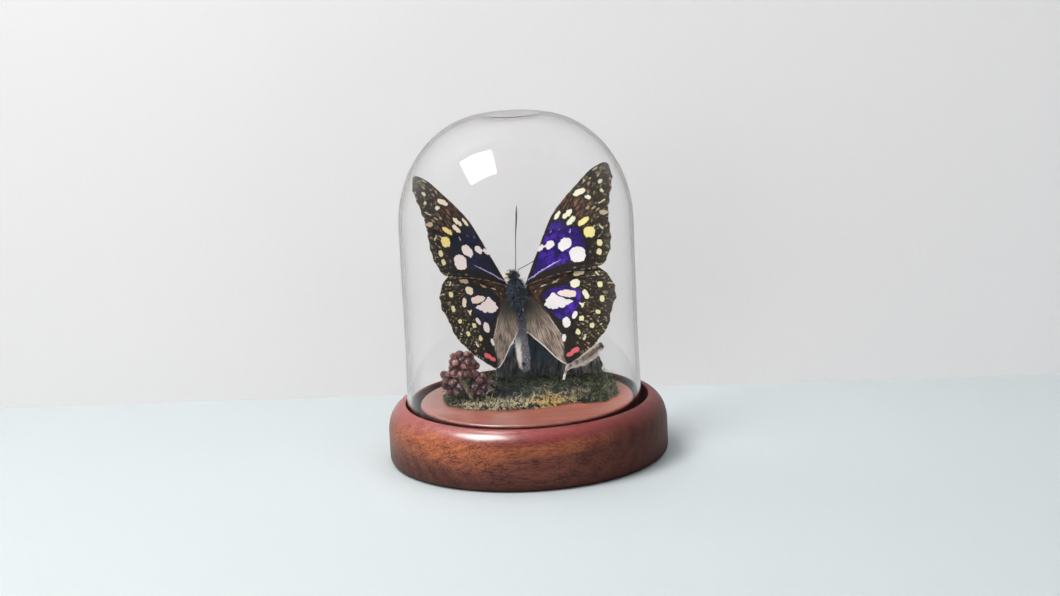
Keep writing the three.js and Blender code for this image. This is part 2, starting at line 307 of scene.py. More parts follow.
body_tone = (rings * 0.08 + streaks * 0.5 + dashes + mottle * 0.3).rise(0.70, 1.12)
wood_colour = wood.mix(body_tone, WOOD_DARK, WOOD_RED)
# Painted light: the left side, towards the window, is lifted with amber dashes along the grain.
lit_left_side = (-along - across * 0.3).rise(4 * MM, 46 * MM) * height.rise(5 * MM, 14 * MM)
wood_colour = wood.mix(lit_left_side * (0.06 + dashes.rise(0.45, 0.62) * 0.5), wood_colour, WOOD_AMBER)
wood_colour = wood.mix(top * (0.3 + dashes * 0.9), wood_colour, WOOD_RIM)
wood_colour = wood.mix(figure * (0.25 + body_tone * 0.55), wood_colour, WOOD_AMBER)
middle_tone = (streaks * 0.6 + dashes * 0.5).rise(0.4, 0.68)
wood_colour = wood.mix(middle, wood_colour, wood.mix(middle_tone, WOOD_MIDDLE_DARK, WOOD_MIDDLE))
# Painted shade: the right side, away from the window, is darkened, and its lacquer thinned there.
shaded_right_side = (along + across * 0.3).rise(-14 * MM, 34 * MM) * 0.6
wood_colour = wood.mix(shaded_right_side * (1 - middle), wood_colour, WOOD_DARK)
# Painted shade: darker towards the bottom, where the base meets the table.
wood_colour = wood.mix(height.fall(0, 8 * MM) * 0.6, wood_colour, WOOD_DARK)
# Painted shade: the groove, up its walls, is darkened nearly to black.
wood_colour = wood.mix(groove * 0.9, wood_colour, GROOVE_SHADE)
open_grain = (pores * 0.5 + dashes.rise(0.52, 0.7) * 0.4) * (1 - middle * 0.7)
wood.give("Base Color", wood.mix(open_grain, wood_colour, WOOD_DARK))
wood.give("Roughness", 0.3 + streaks * 0.25 + pores * 0.2 + groove * 0.4)
lacquer = 0.3 + height.rise(BASE_HEIGHT - 5.5 * MM, BASE_HEIGHT - 2 * MM) * 0.7
wood.give("Coat Weight", lacquer * (1 - groove * 0.97) * (1 - shaded_right_side))
wood.bump(streaks * 0.4 + dashes * 0.5 - pores, 0.06 * MM, 0.6)
wood.on(base)
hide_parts("wooden_base")
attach(base, "root")

# ---- Glass dome ----------------------------------------------------------------------------
# A bell of clear glass blown in one piece, with a low crown, an even thin wall, and a foot that
# is fire-polished and flares a little. It only stands in the groove of the base.

GLASS_LOW, GLASS_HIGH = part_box("glass_dome")
GLASS_AXIS = (GLASS_LOW.x + GLASS_HIGH.x) / 2
GLASS_TOP = GLASS_HIGH.z
GLASS_FOOT = GLASS_LOW.z
GLASS_RADIUS = 41.5 * MM
GLASS_WALL = 1.3 * MM
GLASS_SHOULDER = 84.3 * MM
GLASS_FLARE = 0.9 * MM
FLARE_START = 46 * MM
CROWN_RADIUS = 8.25 * MM
GLASS_COLOUR = (0.996, 0.998, 0.998)


def bell_side(inset):
    """One face of the wall, from the crown down to the foot."""
    radius = GLASS_RADIUS - inset
    rise = GLASS_TOP - GLASS_SHOULDER - inset
    shoulder = arc((CROWN_RADIUS, GLASS_SHOULDER), (radius - CROWN_RADIUS, rise), 90, 0, 32)
    drop = FLARE_START - GLASS_FOOT - GLASS_WALL / 2
    flare = [(radius + GLASS_FLARE * t * t, FLARE_START - drop * t) for t in np.linspace(0, 1, 7)]
    return [*shoulder, *flare]


foot_middle = (GLASS_RADIUS + GLASS_FLARE - GLASS_WALL / 2, GLASS_FOOT + GLASS_WALL / 2)
glass_profile = [
    (0, GLASS_TOP - GLASS_WALL),
    *bell_side(GLASS_WALL),
    *arc(foot_middle, (GLASS_WALL / 2, GLASS_WALL / 2), 180, 360, 6)[1:-1],
    *reversed(bell_side(0)),
    (0, GLASS_TOP),
]
glass = spun("blown_glass_bell", glass_profile, GLASS_AXIS)
smoothed(glass, 60)
glass.visible_shadow = False

clear = Finish(
    "blown clear glass",
    {"Base Color": GLASS_COLOUR, "Transmission Weight": 1.0, "Roughness": 0.0, "IOR": 1.31},
)
clear.bump(clear.noise(clear.place, 45, detail=1), 0.012 * MM)
clear.on(glass)
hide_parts("glass_dome")
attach(glass, "root")

# ---- Moss bed ------------------------------------------------------------------------------
# Dried moss glued to the raised middle in a thin uneven mat. It is dark, with a painted shadow darker
# still under the butterfly's left wings, and its front edge is a ragged pale band of straw-green and
# gold tufts.

MOSS_OUTLINE = [
    (31.8, 12), (29, 24), (18, 31), (2, 34), (-14, 31), (-24.5, 22), (-28, 10), (-28.3, -2.5),
    (-22, -12), (-9.6, -16.2), (4, -16.5), (17, -11.2), (25.8, -11.4), (31, -1),
]
MOSS_CENTRE = np.array([0.0, 9.0])
MOSS_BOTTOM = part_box("moss_bed")[0].z
MOSS_BODY_DEPTH = 1.5 * MM
FROND_COUNT = 2700
HAIR_COUNT = 2600
SPOT_TRIES = 9000
# Patches of the moss: the middle, in mm, and how much less a distance sideways counts.
GOLD_TUFT = (9, -14.2, 0.7)
TAN_PATCH = (12, -6, 0.6)
# The third patch is where a shadow is painted, under the butterfly's left wings.
LEFT_WING_SHADOW = (-11, -1, 0.7)
draw = np.random.default_rng(11)


def curve_through(points, per_side, closed=False):
    """A smooth curve through given points, as an array with per_side steps between two."""
    points = np.array(points, float)
    if closed:
        padded = np.vstack([points[-1], points, points[:2]])
    else:
        padded = np.vstack([2 * points[0] - points[1], points, 2 * points[-1] - points[-2]])
    runs = []
    for a, b, c, d in zip(padded, padded[1:], padded[2:], padded[3:]):
        t = np.linspace(0, 1, per_side, endpoint=False)[:, None]
        bend = (2 * a - 5 * b + 4 * c - d) * t**2 + (3 * b - a - 3 * c + d) * t**3
        runs.append(0.5 * (2 * b + (c - a) * t + bend))
    curve = np.vstack(runs)
    return curve if closed else np.vstack([curve, points[-1]])


def points_of(piece):
    """The places of a piece's points, as an array."""
    flat = np.empty(3 * len(piece.data.vertices), np.float32)
    piece.data.vertices.foreach_get("co", flat)
    return flat.reshape(-1, 3).astype(float)


def move_points(piece, places):
    """Puts a piece's points at new places."""
    piece.data.vertices.foreach_set("co", np.asarray(places, np.float32).ravel())
    piece.data.update()


def bumps(places, size, seed=0.0):
    """Smooth hills and hollows, from about -1 to 1, of that size, at an array of places."""
    shift = Vector((seed, -seed, 2 * seed))
    return np.array([noise.noise(Vector(place).to_3d() / size + shift) for place in places])


def carry(piece, name, values, kind="FLOAT"):
    """Stores a value for each point of a piece, or one for them all, for its finish to read."""
    attribute = piece.data.attributes.new(name, kind, "POINT")
    key = {"FLOAT": "value", "FLOAT_VECTOR": "vector", "FLOAT_COLOR": "color"}[kind]
    if np.isscalar(values):
        values = np.full(len(piece.data.vertices), values)
    attribute.data.foreach_set(key, np.asarray(values, np.float32).ravel())


def opened():
    """Enters edit mode on the active piece, with all of it selected."""
    bpy.ops.object.mode_set(mode="EDIT")
    bpy.ops.mesh.select_all(action="SELECT")


def pattern_of(piece):
    """The points and triangles of a small piece, which is then taken away."""
    opened()
    bpy.ops.mesh.quads_convert_to_tris()
    bpy.ops.object.mode_set(mode="OBJECT")
    places = points_of(piece)
    faces = np.array([face.vertices[:] for face in piece.data.polygons])
    bpy.data.objects.remove(piece)
    return places, faces


def facing(directions, spins):
    """Turns, as an array of matrices, that take Z to each direction, after a spin about Z."""
    z = directions / np.linalg.norm(directions, axis=1, keepdims=True)
    helper = np.where(np.abs(z[:, 2:]) > 0.9, [[1.0, 0, 0]], [[0, 0, 1.0]])
    x = np.cross(helper, z)
    x /= np.linalg.norm(x, axis=1, keepdims=True)
    y = np.cross(z, x)
    c, s = np.cos(spins)[:, None], np.sin(spins)[:, None]
    return np.stack([x * c + y * s, y * c - x * s, z], axis=2)


def scattered(name, pattern, places, turns, sizes, tones):
    """Joins a turned and sized copy of the pattern at each place in one mesh."""
    points, faces = pattern
    grown = np.einsum("kij,knj->kni", turns, points[None] * np.asarray(sizes)[:, None, None])
    vertices = (grown + places[:, None]).reshape(-1, 3)
    triangles = (faces[None] + len(points) * np.arange(len(places))[:, None, None]).reshape(-1, 3)
    mesh = bpy.data.meshes.new(name)
    mesh.from_pydata(vertices.tolist(), [], triangles.tolist())
    piece = bpy.data.objects.new(name, mesh)
    bpy.context.scene.collection.objects.link(piece)
    carry(piece, "tone", np.repeat(tones, len(points)))
    return piece


def strand(length, radius, bends, sides=3):
    """A tapering strand that stands on the origin and leans as it goes up."""
    piece = start_piece(
        "strand", bpy.ops.mesh.primitive_circle_add, vertices=sides, radius=radius, fill_type="NGON"
    )
    opened()
    middle = Vector((0, 0, 0))
    lean = 0.0
    widths = [max(0.12, 1 - 0.8 * step / len(bends)) for step in range(len(bends) + 1)]
    for bend, width, next_width in zip(bends, widths, widths[1:]):
        lean += math.radians(bend)
        move = Vector((math.sin(lean), 0, math.cos(lean))) * length / len(bends)
        middle += move
        bpy.ops.mesh.extrude_region_move(TRANSFORM_OT_translate={"value": move})
        bpy.ops.transform.resize(value=(next_width / width,) * 3, center_override=middle)
    return closed_up(piece)


def soft_step(values, low, high):
    """Goes smoothly from 0 at low to 1 at high, for an array."""
    t = np.clip((values - low) / (high - low), 0, 1)
    return t * t * (3 - 2 * t)


def joined(piece, *others):
    """Joins the others into the first piece."""
    take(piece, *others)
    bpy.ops.object.join()
    return piece


def leafy(piece, leaf_length, leaf_radius, count):
    """Sets small pointed leaves round a strand, in turn on each side."""
    spine = points_of(piece)
    top = spine[:, 2].max()
    for k in range(count):
        level = top * (0.12 + 0.8 * k / count)
        stem_point = spine[np.argmin(np.abs(spine[:, 2] - level))]
        turn = 2.4 * k
        out = 0.4 * leaf_length * Vector((math.cos(turn), math.sin(turn), 0.7))
        bpy.ops.mesh.primitive_cone_add(
            vertices=3, radius1=leaf_radius, depth=leaf_length, end_fill_type="NGON",
            rotation=(0, math.radians(52), turn), location=Vector(stem_point) + out,
        )
        joined(piece, bpy.context.active_object)
    return piece


moss_edge = curve_through(MOSS_OUTLINE, 10, closed=True) - MOSS_CENTRE
edge_angles = np.arctan2(moss_edge[:, 1], moss_edge[:, 0])
edge_reaches = np.hypot(moss_edge[:, 1], moss_edge[:, 0])


def edge_reach(out):
    """How far the mat's edge is from its middle, in mm, in each direction."""
    angles = np.arctan2(out[:, 1], out[:, 0])
    return np.interp(angles, edge_angles, edge_reaches, period=2 * math.pi)


def moss_share(places):
    """How far out on the mat places in mm are: 0 at its middle and 1 at its edge."""
    out = places - MOSS_CENTRE
    return np.hypot(out[:, 0], out[:, 1]) / edge_reach(out)


def moss_height(places):
    """The height of the mat's top, in metres, at places in mm."""
    lumps = 0.9 + 1.2 * bumps(places, 5.0, 3.0) + 0.6 * bumps(places, 2.0, 8.0)
    side = np.clip(1 - moss_share(places) ** 6, 0, 1) ** 0.5
    return MOSS_BOTTOM + 0.1 * MM + MOSS_BODY_DEPTH * side * np.clip(lumps, 0.12, 2.4)


moss = start_piece(
    "moss_mat", bpy.ops.mesh.primitive_uv_sphere_add, segments=128, ring_count=64, radius=1
)
opened()
bpy.ops.mesh.bisect(plane_co=(0, 0, 0), plane_no=(0, 0, 1), clear_inner=True, use_fill=True)
closed_up(moss)
ball = points_of(moss)
mat_places = MOSS_CENTRE + ball[:, :2] * edge_reach(ball)[:, None]
mat_tops = np.where(ball[:, 2] < 1e-4, MOSS_BOTTOM, moss_height(mat_places))
move_points(moss, np.column_stack([mat_places * MM, mat_tops]))
smoothed(moss, 80)

# Fronds crowd towards the mat's edge, and loose hairs lie all over it.
spots = draw.uniform((-29, -17), (32, 34), (SPOT_TRIES, 2))
spot_shares = moss_share(spots) * (1 + 0.05 * bumps(spots, 3.0))
edge_first = np.argsort(-(spot_shares + draw.uniform(0, 0.5, len(spots)) - 2 * (spot_shares > 1.02)))
frond_spots = spots[edge_first][:FROND_COUNT]
hair_spots = spots[spot_shares < 1.03][:HAIR_COUNT]


def growth(places, lean):
    """Directions that lean outwards near the edge and any way elsewhere."""
    out = (places - MOSS_CENTRE) / 30
    loose = draw.normal(0, 1, (len(places), 2))
    flat = loose * lean + out * moss_share(places)[:, None] ** 4 * 1.2
    return np.column_stack([flat, np.ones(len(places))])


def on_moss(places, sink):
    """Places on the mat, in metres and sunk a little into it, from places in mm."""
    return np.column_stack([places * MM, moss_height(places) - sink])


frond_stem = strand(length=2.4 * MM, radius=0.12 * MM, bends=(8, 14, 20, 26))
frond = pattern_of(leafy(frond_stem, leaf_length=0.8 * MM, leaf_radius=0.2 * MM, count=8))
fronds = scattered(
    "moss_fronds",
    frond,
    on_moss(frond_spots, 0.35 * MM),
    facing(growth(frond_spots, 0.75), draw.uniform(0, 2 * math.pi, FROND_COUNT)),
    draw.uniform(0.55, 1.05, FROND_COUNT),
    draw.uniform(0, 1, FROND_COUNT),
)
hair = pattern_of(strand(length=4.6 * MM, radius=0.13 * MM, bends=(14, 24, 28, 30, 24, 18)))
hairs = scattered(
    "moss_strands",
    hair,
    on_moss(hair_spots, 0.3 * MM),
    facing(growth(hair_spots, 1.3), draw.uniform(0, 2 * math.pi, len(hair_spots))),
    draw.uniform(0.5, 1.1, len(hair_spots)) + 0.7 * (draw.uniform(0, 1, len(hair_spots)) > 0.93),
    draw.uniform(0, 1, len(hair_spots)),
)

MOSS_DEEP = (0.014, 0.022, 0.017)
MOSS_SHADOW = (0.010, 0.014, 0.020)
MOSS_OLIVE = (0.120, 0.130, 0.055)
MOSS_PALE = (0.36, 0.33, 0.21)
MOSS_STRAW = (0.66, 0.58, 0.38)
MOSS_GOLD = (0.66, 0.46, 0.17)
MOSS_TAN = (0.46, 0.34, 0.23)
dried = Finish("dried moss", {"Roughness": 0.9, "Specular IOR Level": 0.12})
x, y, _ = dried.split(dried.place)


def off_patch(patch):
    """How far from a patch's middle a place is, where the patch is longer sideways."""
    return away((x - patch[0] * MM) * patch[2], y - patch[1] * MM)


tone = dried.carried("tone")
drift = dried.noise(dried.place, 260, detail=3)
front = (drift * 12 * MM - y).rise(12.5 * MM, 21 * MM) * (-x).rise(-21 * MM, -12 * MM)
gold = (off_patch(GOLD_TUFT) + drift * 9 * MM).fall(6 * MM, 11.5 * MM) * tone.rise(0, 0.5)
tan = off_patch(TAN_PATCH).fall(3 * MM, 9 * MM) * tone.rise(0.55, 0.7)
# Painted shadow: the moss is darkened to navy under the butterfly's left wings.
painted_shadow = off_patch(LEFT_WING_SHADOW).fall(5 * MM, 11 * MM) * 0.85
moss_colour = dried.mix((drift * 0.9 + tone * 0.5).rise(0.5, 0.95), MOSS_DEEP, MOSS_OLIVE)
moss_colour = dried.mix(painted_shadow, moss_colour, MOSS_SHADOW)
moss_colour = dried.mix(tone.rise(0.5, 0.95) * drift.rise(0.46, 0.58) * 0.8, moss_colour, MOSS_PALE)
moss_colour = dried.mix(front * tone.rise(0.1, 0.8), moss_colour, MOSS_STRAW)
moss_colour = dried.mix(tan, moss_colour, MOSS_TAN)
dried.give("Base Color", dried.mix(gold, moss_colour, MOSS_GOLD))
dried.give("Roughness", 0.75 + tone * 0.2)
dried.bump(dried.noise(dried.place, 2600, detail=2), 0.1 * MM, 0.4)
dried.on(moss, fronds, hairs)
for piece in (moss, fronds, hairs):
    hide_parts("moss_bed")
    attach(piece, "root")

# ---- Bark ----------------------------------------------------------------------------------
# An upright piece of dark bark set in the moss, with its split face to the front. A narrow
# splinter of it stands up behind the butterfly, whose thorax is glued to the splinter's top.

BARK_OUTLINE = [
    (-10.5, 3.1), (28.6, 3.1), (28.2, 6), (26.8, 9.5), (22, 14.5), (15.5, 21), (10.5, 26.5),
    (6.5, 27.3), (4.6, 23.5), (1.4, 18.4), (-4.2, 14.3), (-9.2, 11.7),
]
SPLINTER_OUTLINE = [
    (-3.3, 8), (0.7, 8), (0.6, 22), (0.2, 30), (-0.2, 34), (-1.4, 35.6), (-2.8, 34.4), (-3.1, 28),
]
BARK_LOW, BARK_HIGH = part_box("bark_piece")
BARK_DEPTHS = (BARK_HIGH.y - MM, BARK_LOW.y + 0.6 * MM)
SPLINTER_DEPTHS = (20.2 * MM, 16.7 * MM)
BARK_VOXEL = 0.42 * MM
BARK_GRAIN_LEAN = 0.25


def apply_modifier(piece, kind, **settings):
    """Adds a modifier to a piece and applies it at once."""
    take(piece)
    modifier = piece.modifiers.new(kind.lower(), kind)
    for key, value in settings.items():
        setattr(modifier, key, value)
    bpy.ops.object.modifier_apply(modifier=modifier.name)


def pushed_out(piece, distances):
    """Moves each point along its own normal."""
    normals = np.empty(3 * len(piece.data.vertices), np.float32)
    piece.data.vertices.foreach_get("normal", normals)
    move_points(piece, points_of(piece) + normals.reshape(-1, 3) * distances[:, None])


def slab(name, outline, start, end, floor=BASE_HEIGHT):
    """A flat piece drawn at one depth and extruded to another, its outline in mm above a floor."""
    piece = drawn(name, [(x * MM, start, floor + z * MM) for x, z in outline])
    bpy.ops.mesh.select_all(action="SELECT")
    bpy.ops.mesh.edge_face_add()
    bpy.ops.mesh.extrude_region_move(TRANSFORM_OT_translate={"value": (0, end - start, 0)})
    return closed_up(piece)


splinter = slab("bark_splinter", SPLINTER_OUTLINE, *SPLINTER_DEPTHS)
bark = joined(slab("split_bark", BARK_OUTLINE, *BARK_DEPTHS), splinter)
apply_modifier(bark, "REMESH", mode="VOXEL", voxel_size=BARK_VOXEL)
apply_modifier(bark, "SMOOTH", factor=0.6, iterations=6)
grain_places = points_of(bark) / MM
grain_x = grain_places[:, 0] - BARK_GRAIN_LEAN * (grain_places[:, 2] - BASE_HEIGHT / MM)
ridge_places = np.column_stack([grain_x, grain_places[:, 1] * 0.7, grain_places[:, 2] * 0.13])
plates = np.abs(bumps(ridge_places, 2.6, 1.0))
cracks = np.abs(bumps(ridge_places, 1.1, 5.0))
pushed_out(bark, (2.2 * plates + 1.0 * cracks - 0.8) * 0.9 * MM)
smoothed(bark, 60)

BARK_BLACK = (0.012, 0.013, 0.017)
BARK_GREY = (0.350, 0.310, 0.310)
BARK_SHADE_BLUE = (0.038, 0.066, 0.084)
BARK_MOSSY = (0.050, 0.075, 0.045)
rough_bark = Finish("dark weathered bark", {"Roughness": 0.9, "Specular IOR Level": 0.12})
bark_grain = rough_bark.noise(rough_bark.stretched((900, 900, 130)), detail=5, roughness=0.7)
bark_drift = rough_bark.noise(rough_bark.place, 120, detail=3)
x, _, z = rough_bark.split(rough_bark.place)
# The grain shows grey mostly to the right. Painted shade: the left part, behind the butterfly, is
# painted bluish black.
weathered = bark_grain.rise(0.38, 0.68) * (0.3 + x.rise(8 * MM, 22 * MM) * 0.7)
bark_colour = rough_bark.mix(weathered, BARK_BLACK, BARK_GREY)
bluish_shade = bark_drift.rise(0.42, 0.6) * x.fall(8 * MM, 20 * MM)
bark_colour = rough_bark.mix(bluish_shade, bark_colour, BARK_SHADE_BLUE)
green_foot = z.fall(BASE_HEIGHT + 3 * MM, BASE_HEIGHT + 11 * MM) * bark_drift.rise(0.45, 0.6)
rough_bark.give("Base Color", rough_bark.mix(green_foot, bark_colour, BARK_MOSSY))
rough_bark.give("Roughness", 0.7 + bark_grain * 0.3)
rough_bark.bump(bark_grain, 0.5 * MM, 0.9)
rough_bark.on(bark)
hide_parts("bark_piece")
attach(bark, "root")

# ---- Dry leaf ------------------------------------------------------------------------------
# A narrow grey-brown leaf that dried curled, on a short stalk pushed into the moss. It leans on
# the bark, and its edges are paper-thin and frilled.

LEAF_SPINE = [
    (13.6, 7, 3.9), (14.6, 7, 7.1), (16.2, 7, 9.1), (20.5, 7, 10.9), (25, 8, 13.7), (28.4, 8.5, 15.9),
]
LEAF_HALF_WIDTHS = [0.35, 0.35, 1.4, 2.4, 2.6, 0.8]
LEAF_CURL = 0.35
LEAF_THICKNESS = 0.22 * MM
LEAF_STEPS = (72, 20)


def on_base(places):
    """Places in mm above the base, as places in metres."""
    return np.asarray(places) * MM + np.array([0, 0, BASE_HEIGHT])


def followed(line, steps, places):
    """Where a line is, at places between its steps."""
    return np.column_stack([np.interp(places, steps, column) for column in line.T])


leaf = start_piece(
    "curled_leaf", bpy.ops.mesh.primitive_grid_add,
    x_subdivisions=LEAF_STEPS[0], y_subdivisions=LEAF_STEPS[1], size=2,
)
sheet = points_of(leaf)
leaf_along = (sheet[:, 0] + 1) / 2 * (len(LEAF_SPINE) - 1)
leaf_across = sheet[:, 1]
spine_line = curve_through(LEAF_SPINE, 20)
spine_steps = np.linspace(0, len(LEAF_SPINE) - 1, len(spine_line))
leaf_heading = followed(np.gradient(spine_line, axis=0), spine_steps, leaf_along)
leaf_side = np.cross(leaf_heading, [0, 1, 0])
leaf_side /= np.linalg.norm(leaf_side, axis=1, keepdims=True)
frill = bumps(np.column_stack([leaf_along * 3.1, leaf_across * 0.7]), 0.5, 4.0)
half_width = np.interp(leaf_along, np.arange(len(LEAF_HALF_WIDTHS)), LEAF_HALF_WIDTHS)
half_width = half_width * (1 + 0.22 * frill)
leaf_places = followed(spine_line, spine_steps, leaf_along)
leaf_places = leaf_places - leaf_side * (leaf_across * half_width)[:, None]
leaf_places[:, 1] += LEAF_CURL * half_width * leaf_across**2 + 0.7 * frill * np.abs(leaf_across)
move_points(leaf, on_base(leaf_places))
carry(leaf, "across", leaf_across)
carry(leaf, "along", leaf_along)
apply_modifier(leaf, "SOLIDIFY", thickness=LEAF_THICKNESS, offset=0)
smoothed(leaf, 50)

LEAF_BROWN = (0.340, 0.268, 0.212)
LEAF_PALE = (0.93, 0.81, 0.73)
LEAF_DARK = (0.070, 0.052, 0.042)
papery = Finish("dry leaf", {"Roughness": 0.7, "Specular IOR Level": 0.25})
across = papery.carried("across")
along = papery.carried("along")
fibres = papery.noise(papery.node("CombineXYZ", (), {0: along * 2.0, 1: across * 9.0}), 1.5, detail=4)
leaf_blotch = papery.noise(papery.place, 420, detail=3)
leaf_colour = papery.mix((fibres * 0.6 + leaf_blotch * 0.7).rise(0.5, 0.8), LEAF_DARK, LEAF_BROWN)
pale_rim = abs(across).rise(0.2, 0.55) * (0.6 + leaf_blotch.rise(0.36, 0.56) * 0.4)
leaf_colour = papery.mix(pale_rim, leaf_colour, LEAF_PALE)
pale_foot = along.fall(2.0, 3.8) * leaf_blotch.rise(0.38, 0.52) * 0.85
leaf_colour = papery.mix(pale_foot, leaf_colour, LEAF_PALE)
papery.give("Base Color", papery.mix(along.rise(4.55, 4.85), leaf_colour, LEAF_DARK))
papery.give("Roughness", 0.55 + fibres * 0.3)
papery.bump(fibres, 0.15 * MM, 0.6)
papery.on(leaf)
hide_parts("dry_leaf")
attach(leaf, "root")

# ---- Seed sprig ----------------------------------------------------------------------------
# A woody stem stuck in the moss, with four forks crowded with round red-brown seed capsules.
# Each capsule has split open at its end into a small toothed crown.

# The stem and each fork's twig and capsules are places in mm above the base.
SPRIG_STEM = [(-24.3, -5.6, 11.7), (-22.9, -7.2, 9.5), (-21, -9.6, 6.1), (-19.6, -10.2, 3.0)]
STEM_RADIUS = 0.66 * MM
TWIG_RADIUS = 0.36 * MM
CAPSULE_RADIUS = 1.42 * MM
FORKS = {
    "capsule_cluster_top": (
        [(-22.6, -5.4, 12.7), (-22.4, -5.8, 14.7), (-21.6, -6, 17.7)],
        [
            (-22.7, -4.2, 17.7), (-20.5, -6, 17.8), (-24.2, -6, 16.7), (-21.9, -7.4, 16.5),
            (-19.8, -4.6, 15.9), (-18.6, -6.2, 15.2), (-25.6, -4.6, 15.2), (-23.8, -7.4, 14.7),
            (-21.4, -8, 14.5), (-19.6, -6.8, 13.5), (-17.5, -5.2, 13.5), (-26, -6, 13.5),
            (-23.7, -7.4, 13), (-21.9, -5.4, 13.9), (-22.9, -8.2, 11.6), (-20.8, -8.6, 11.8),
            (-25.3, -7.2, 11.8), (-18.9, -7.2, 11.9), (-25.0, -4.8, 17.2), (-19.4, -5.6, 17.1),
            (-23.2, -6.4, 18.3), (-24.4, -8.0, 15.6), (-20.4, -8.2, 16.0),
        ],
    ),
    "capsule_cluster_left": (
        [(-26.2, -4.4, 10.1), (-27.5, -4.6, 10.3), (-29, -4.4, 10.7)],
        [(-29, -4.2, 10.7), (-27.8, -5.2, 10.5), (-26.7, -3.8, 10.5), (-28.2, -5.6, 8.8)],
    ),
    "capsule_cluster_low": (
        [(-24.4, -7.8, 6.7), (-26, -7, 7.1), (-27.8, -6, 7.1)],
        [
            (-28.4, -6, 6.9), (-26.9, -7.8, 6.2), (-25.2, -7.6, 7.5), (-24, -9.2, 6.9),
            (-24.8, -9.8, 5.5), (-27, -6.4, 7.5), (-26.0, -9.0, 8.4), (-28.6, -7.6, 8.2),
            (-26.8, -9.4, 5.2),
        ],
    ),
    "capsule_cluster_right": (
        [(-18.6, -6, 9.3), (-16.6, -7.2, 7.7), (-13.4, -8.2, 6.7)],
        [
            (-18.7, -5.6, 9.9), (-17, -6.2, 8.7), (-17.6, -8.6, 6.7), (-14.3, -6.6, 8.3),
            (-14.9, -9, 6.5), (-13.2, -8.8, 5.8), (-16.2, -8.6, 8.8), (-18.4, -8.6, 5.0),
            (-15.6, -7.4, 10.0), (-17.6, -7.4, 10.8), (-19.2, -5.4, 7.4),
            (-16.4, -9.4, 4.9), (-13.0, -7.4, 7.6),
        ],
    ),
}


def wire(name, points, radii, resolution=3):
    """A round rod along a smooth line of points in mm above the base, with a radius at each."""
    line = curve_through(points, 6)
    thickness = np.interp(np.linspace(0, 1, len(line)), np.linspace(0, 1, len(radii)), radii)
    curve = bpy.data.curves.new(name, "CURVE")
    curve.dimensions = "3D"
    curve.bevel_depth = 1.0
    curve.bevel_resolution = resolution
    curve.use_fill_caps = True
    spline = curve.splines.new("POLY")
    spline.points.add(len(line) - 1)
    for point, place, radius in zip(spline.points, on_base(line), thickness):
        point.co = (*place, 1)
        point.radius = radius
    piece = bpy.data.objects.new(name, curve)
    bpy.context.scene.collection.objects.link(piece)
    take(piece)
    bpy.ops.object.convert(target="MESH")
    piece = bpy.context.active_object
    bpy.ops.object.mode_set(mode="EDIT")
    return closed_up(piece)


stem = wire("woody_stem", SPRIG_STEM, [STEM_RADIUS * k for k in (0.75, 1.05, 0.9, 1.1)], 4)
pushed_out(stem, 0.13 * MM * bumps(points_of(stem) / MM * [1, 1, 0.4], 0.7, 6.0))
smoothed(stem, 60)

STEM_DARK = (0.050, 0.034, 0.020)
STEM_PALE = (0.30, 0.22, 0.14)
woody = Finish("dry woody stem", {"Roughness": 0.8, "Specular IOR Level": 0.2})
stem_grain = woody.noise(woody.stretched((1500, 1500, 330)), detail=4, roughness=0.65)
woody.give("Base Color", woody.mix(stem_grain.rise(0.35, 0.68), STEM_DARK, STEM_PALE))
woody.give("Roughness", 0.65 + stem_grain * 0.3)
woody.bump(stem_grain, 0.15 * MM, 0.6)
woody.on(stem)
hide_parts("sprig_stem")
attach(stem, "root")

capsule = start_piece(
    "capsule", bpy.ops.mesh.primitive_uv_sphere_add, segments=15, ring_count=12, radius=CAPSULE_RADIUS
)
round_capsule = points_of(capsule)
capsule_rise = round_capsule[:, 2] / CAPSULE_RADIUS
ribs = np.cos(5 * np.arctan2(round_capsule[:, 1], round_capsule[:, 0])) * (1 - capsule_rise**2)
lobes = 1 + 0.07 * bumps(round_capsule, 0.7 * CAPSULE_RADIUS, 3.0) + 0.04 * ribs
move_points(capsule, round_capsule * np.column_stack([lobes, lobes, np.full_like(lobes, 1.02)]))
bpy.ops.object.mode_set(mode="EDIT")
bpy.ops.mesh.select_all(action="DESELECT")
bpy.ops.object.mode_set(mode="OBJECT")
for face in capsule.data.polygons:
    face.select = face.center.z > 0.955 * CAPSULE_RADIUS
bpy.ops.object.mode_set(mode="EDIT")
bpy.ops.mesh.select_mode(type="FACE")
bpy.ops.mesh.inset(thickness=0.05 * CAPSULE_RADIUS)
bpy.ops.mesh.extrude_region_move(TRANSFORM_OT_translate={"value": (0, 0, -0.45 * CAPSULE_RADIUS)})
closed_up(capsule)
crown = points_of(capsule)
crown_reach = np.hypot(crown[:, 0], crown[:, 1])
on_lip = (crown[:, 2] > 0.92 * CAPSULE_RADIUS) & (crown_reach > 0.1 * CAPSULE_RADIUS)
teeth = 0.5 + 0.5 * np.cos(5 * np.arctan2(crown[:, 1], crown[:, 0]))
crown[:, 2] += on_lip * teeth * 0.22 * CAPSULE_RADIUS
crown[:, :2] *= 1 + 0.16 * (on_lip * teeth)[:, None]
move_points(capsule, crown)
capsule_pattern = pattern_of(capsule)
seed_points = capsule_pattern[0] / CAPSULE_RADIUS
seed_reach = np.hypot(seed_points[:, 0], seed_points[:, 1])
in_crown = (seed_points[:, 2] > 0.3) & (seed_points[:, 2] < 0.62) & (seed_reach < 0.45)
seed_tips = np.where(in_crown, 1.8, seed_points[:, 2])

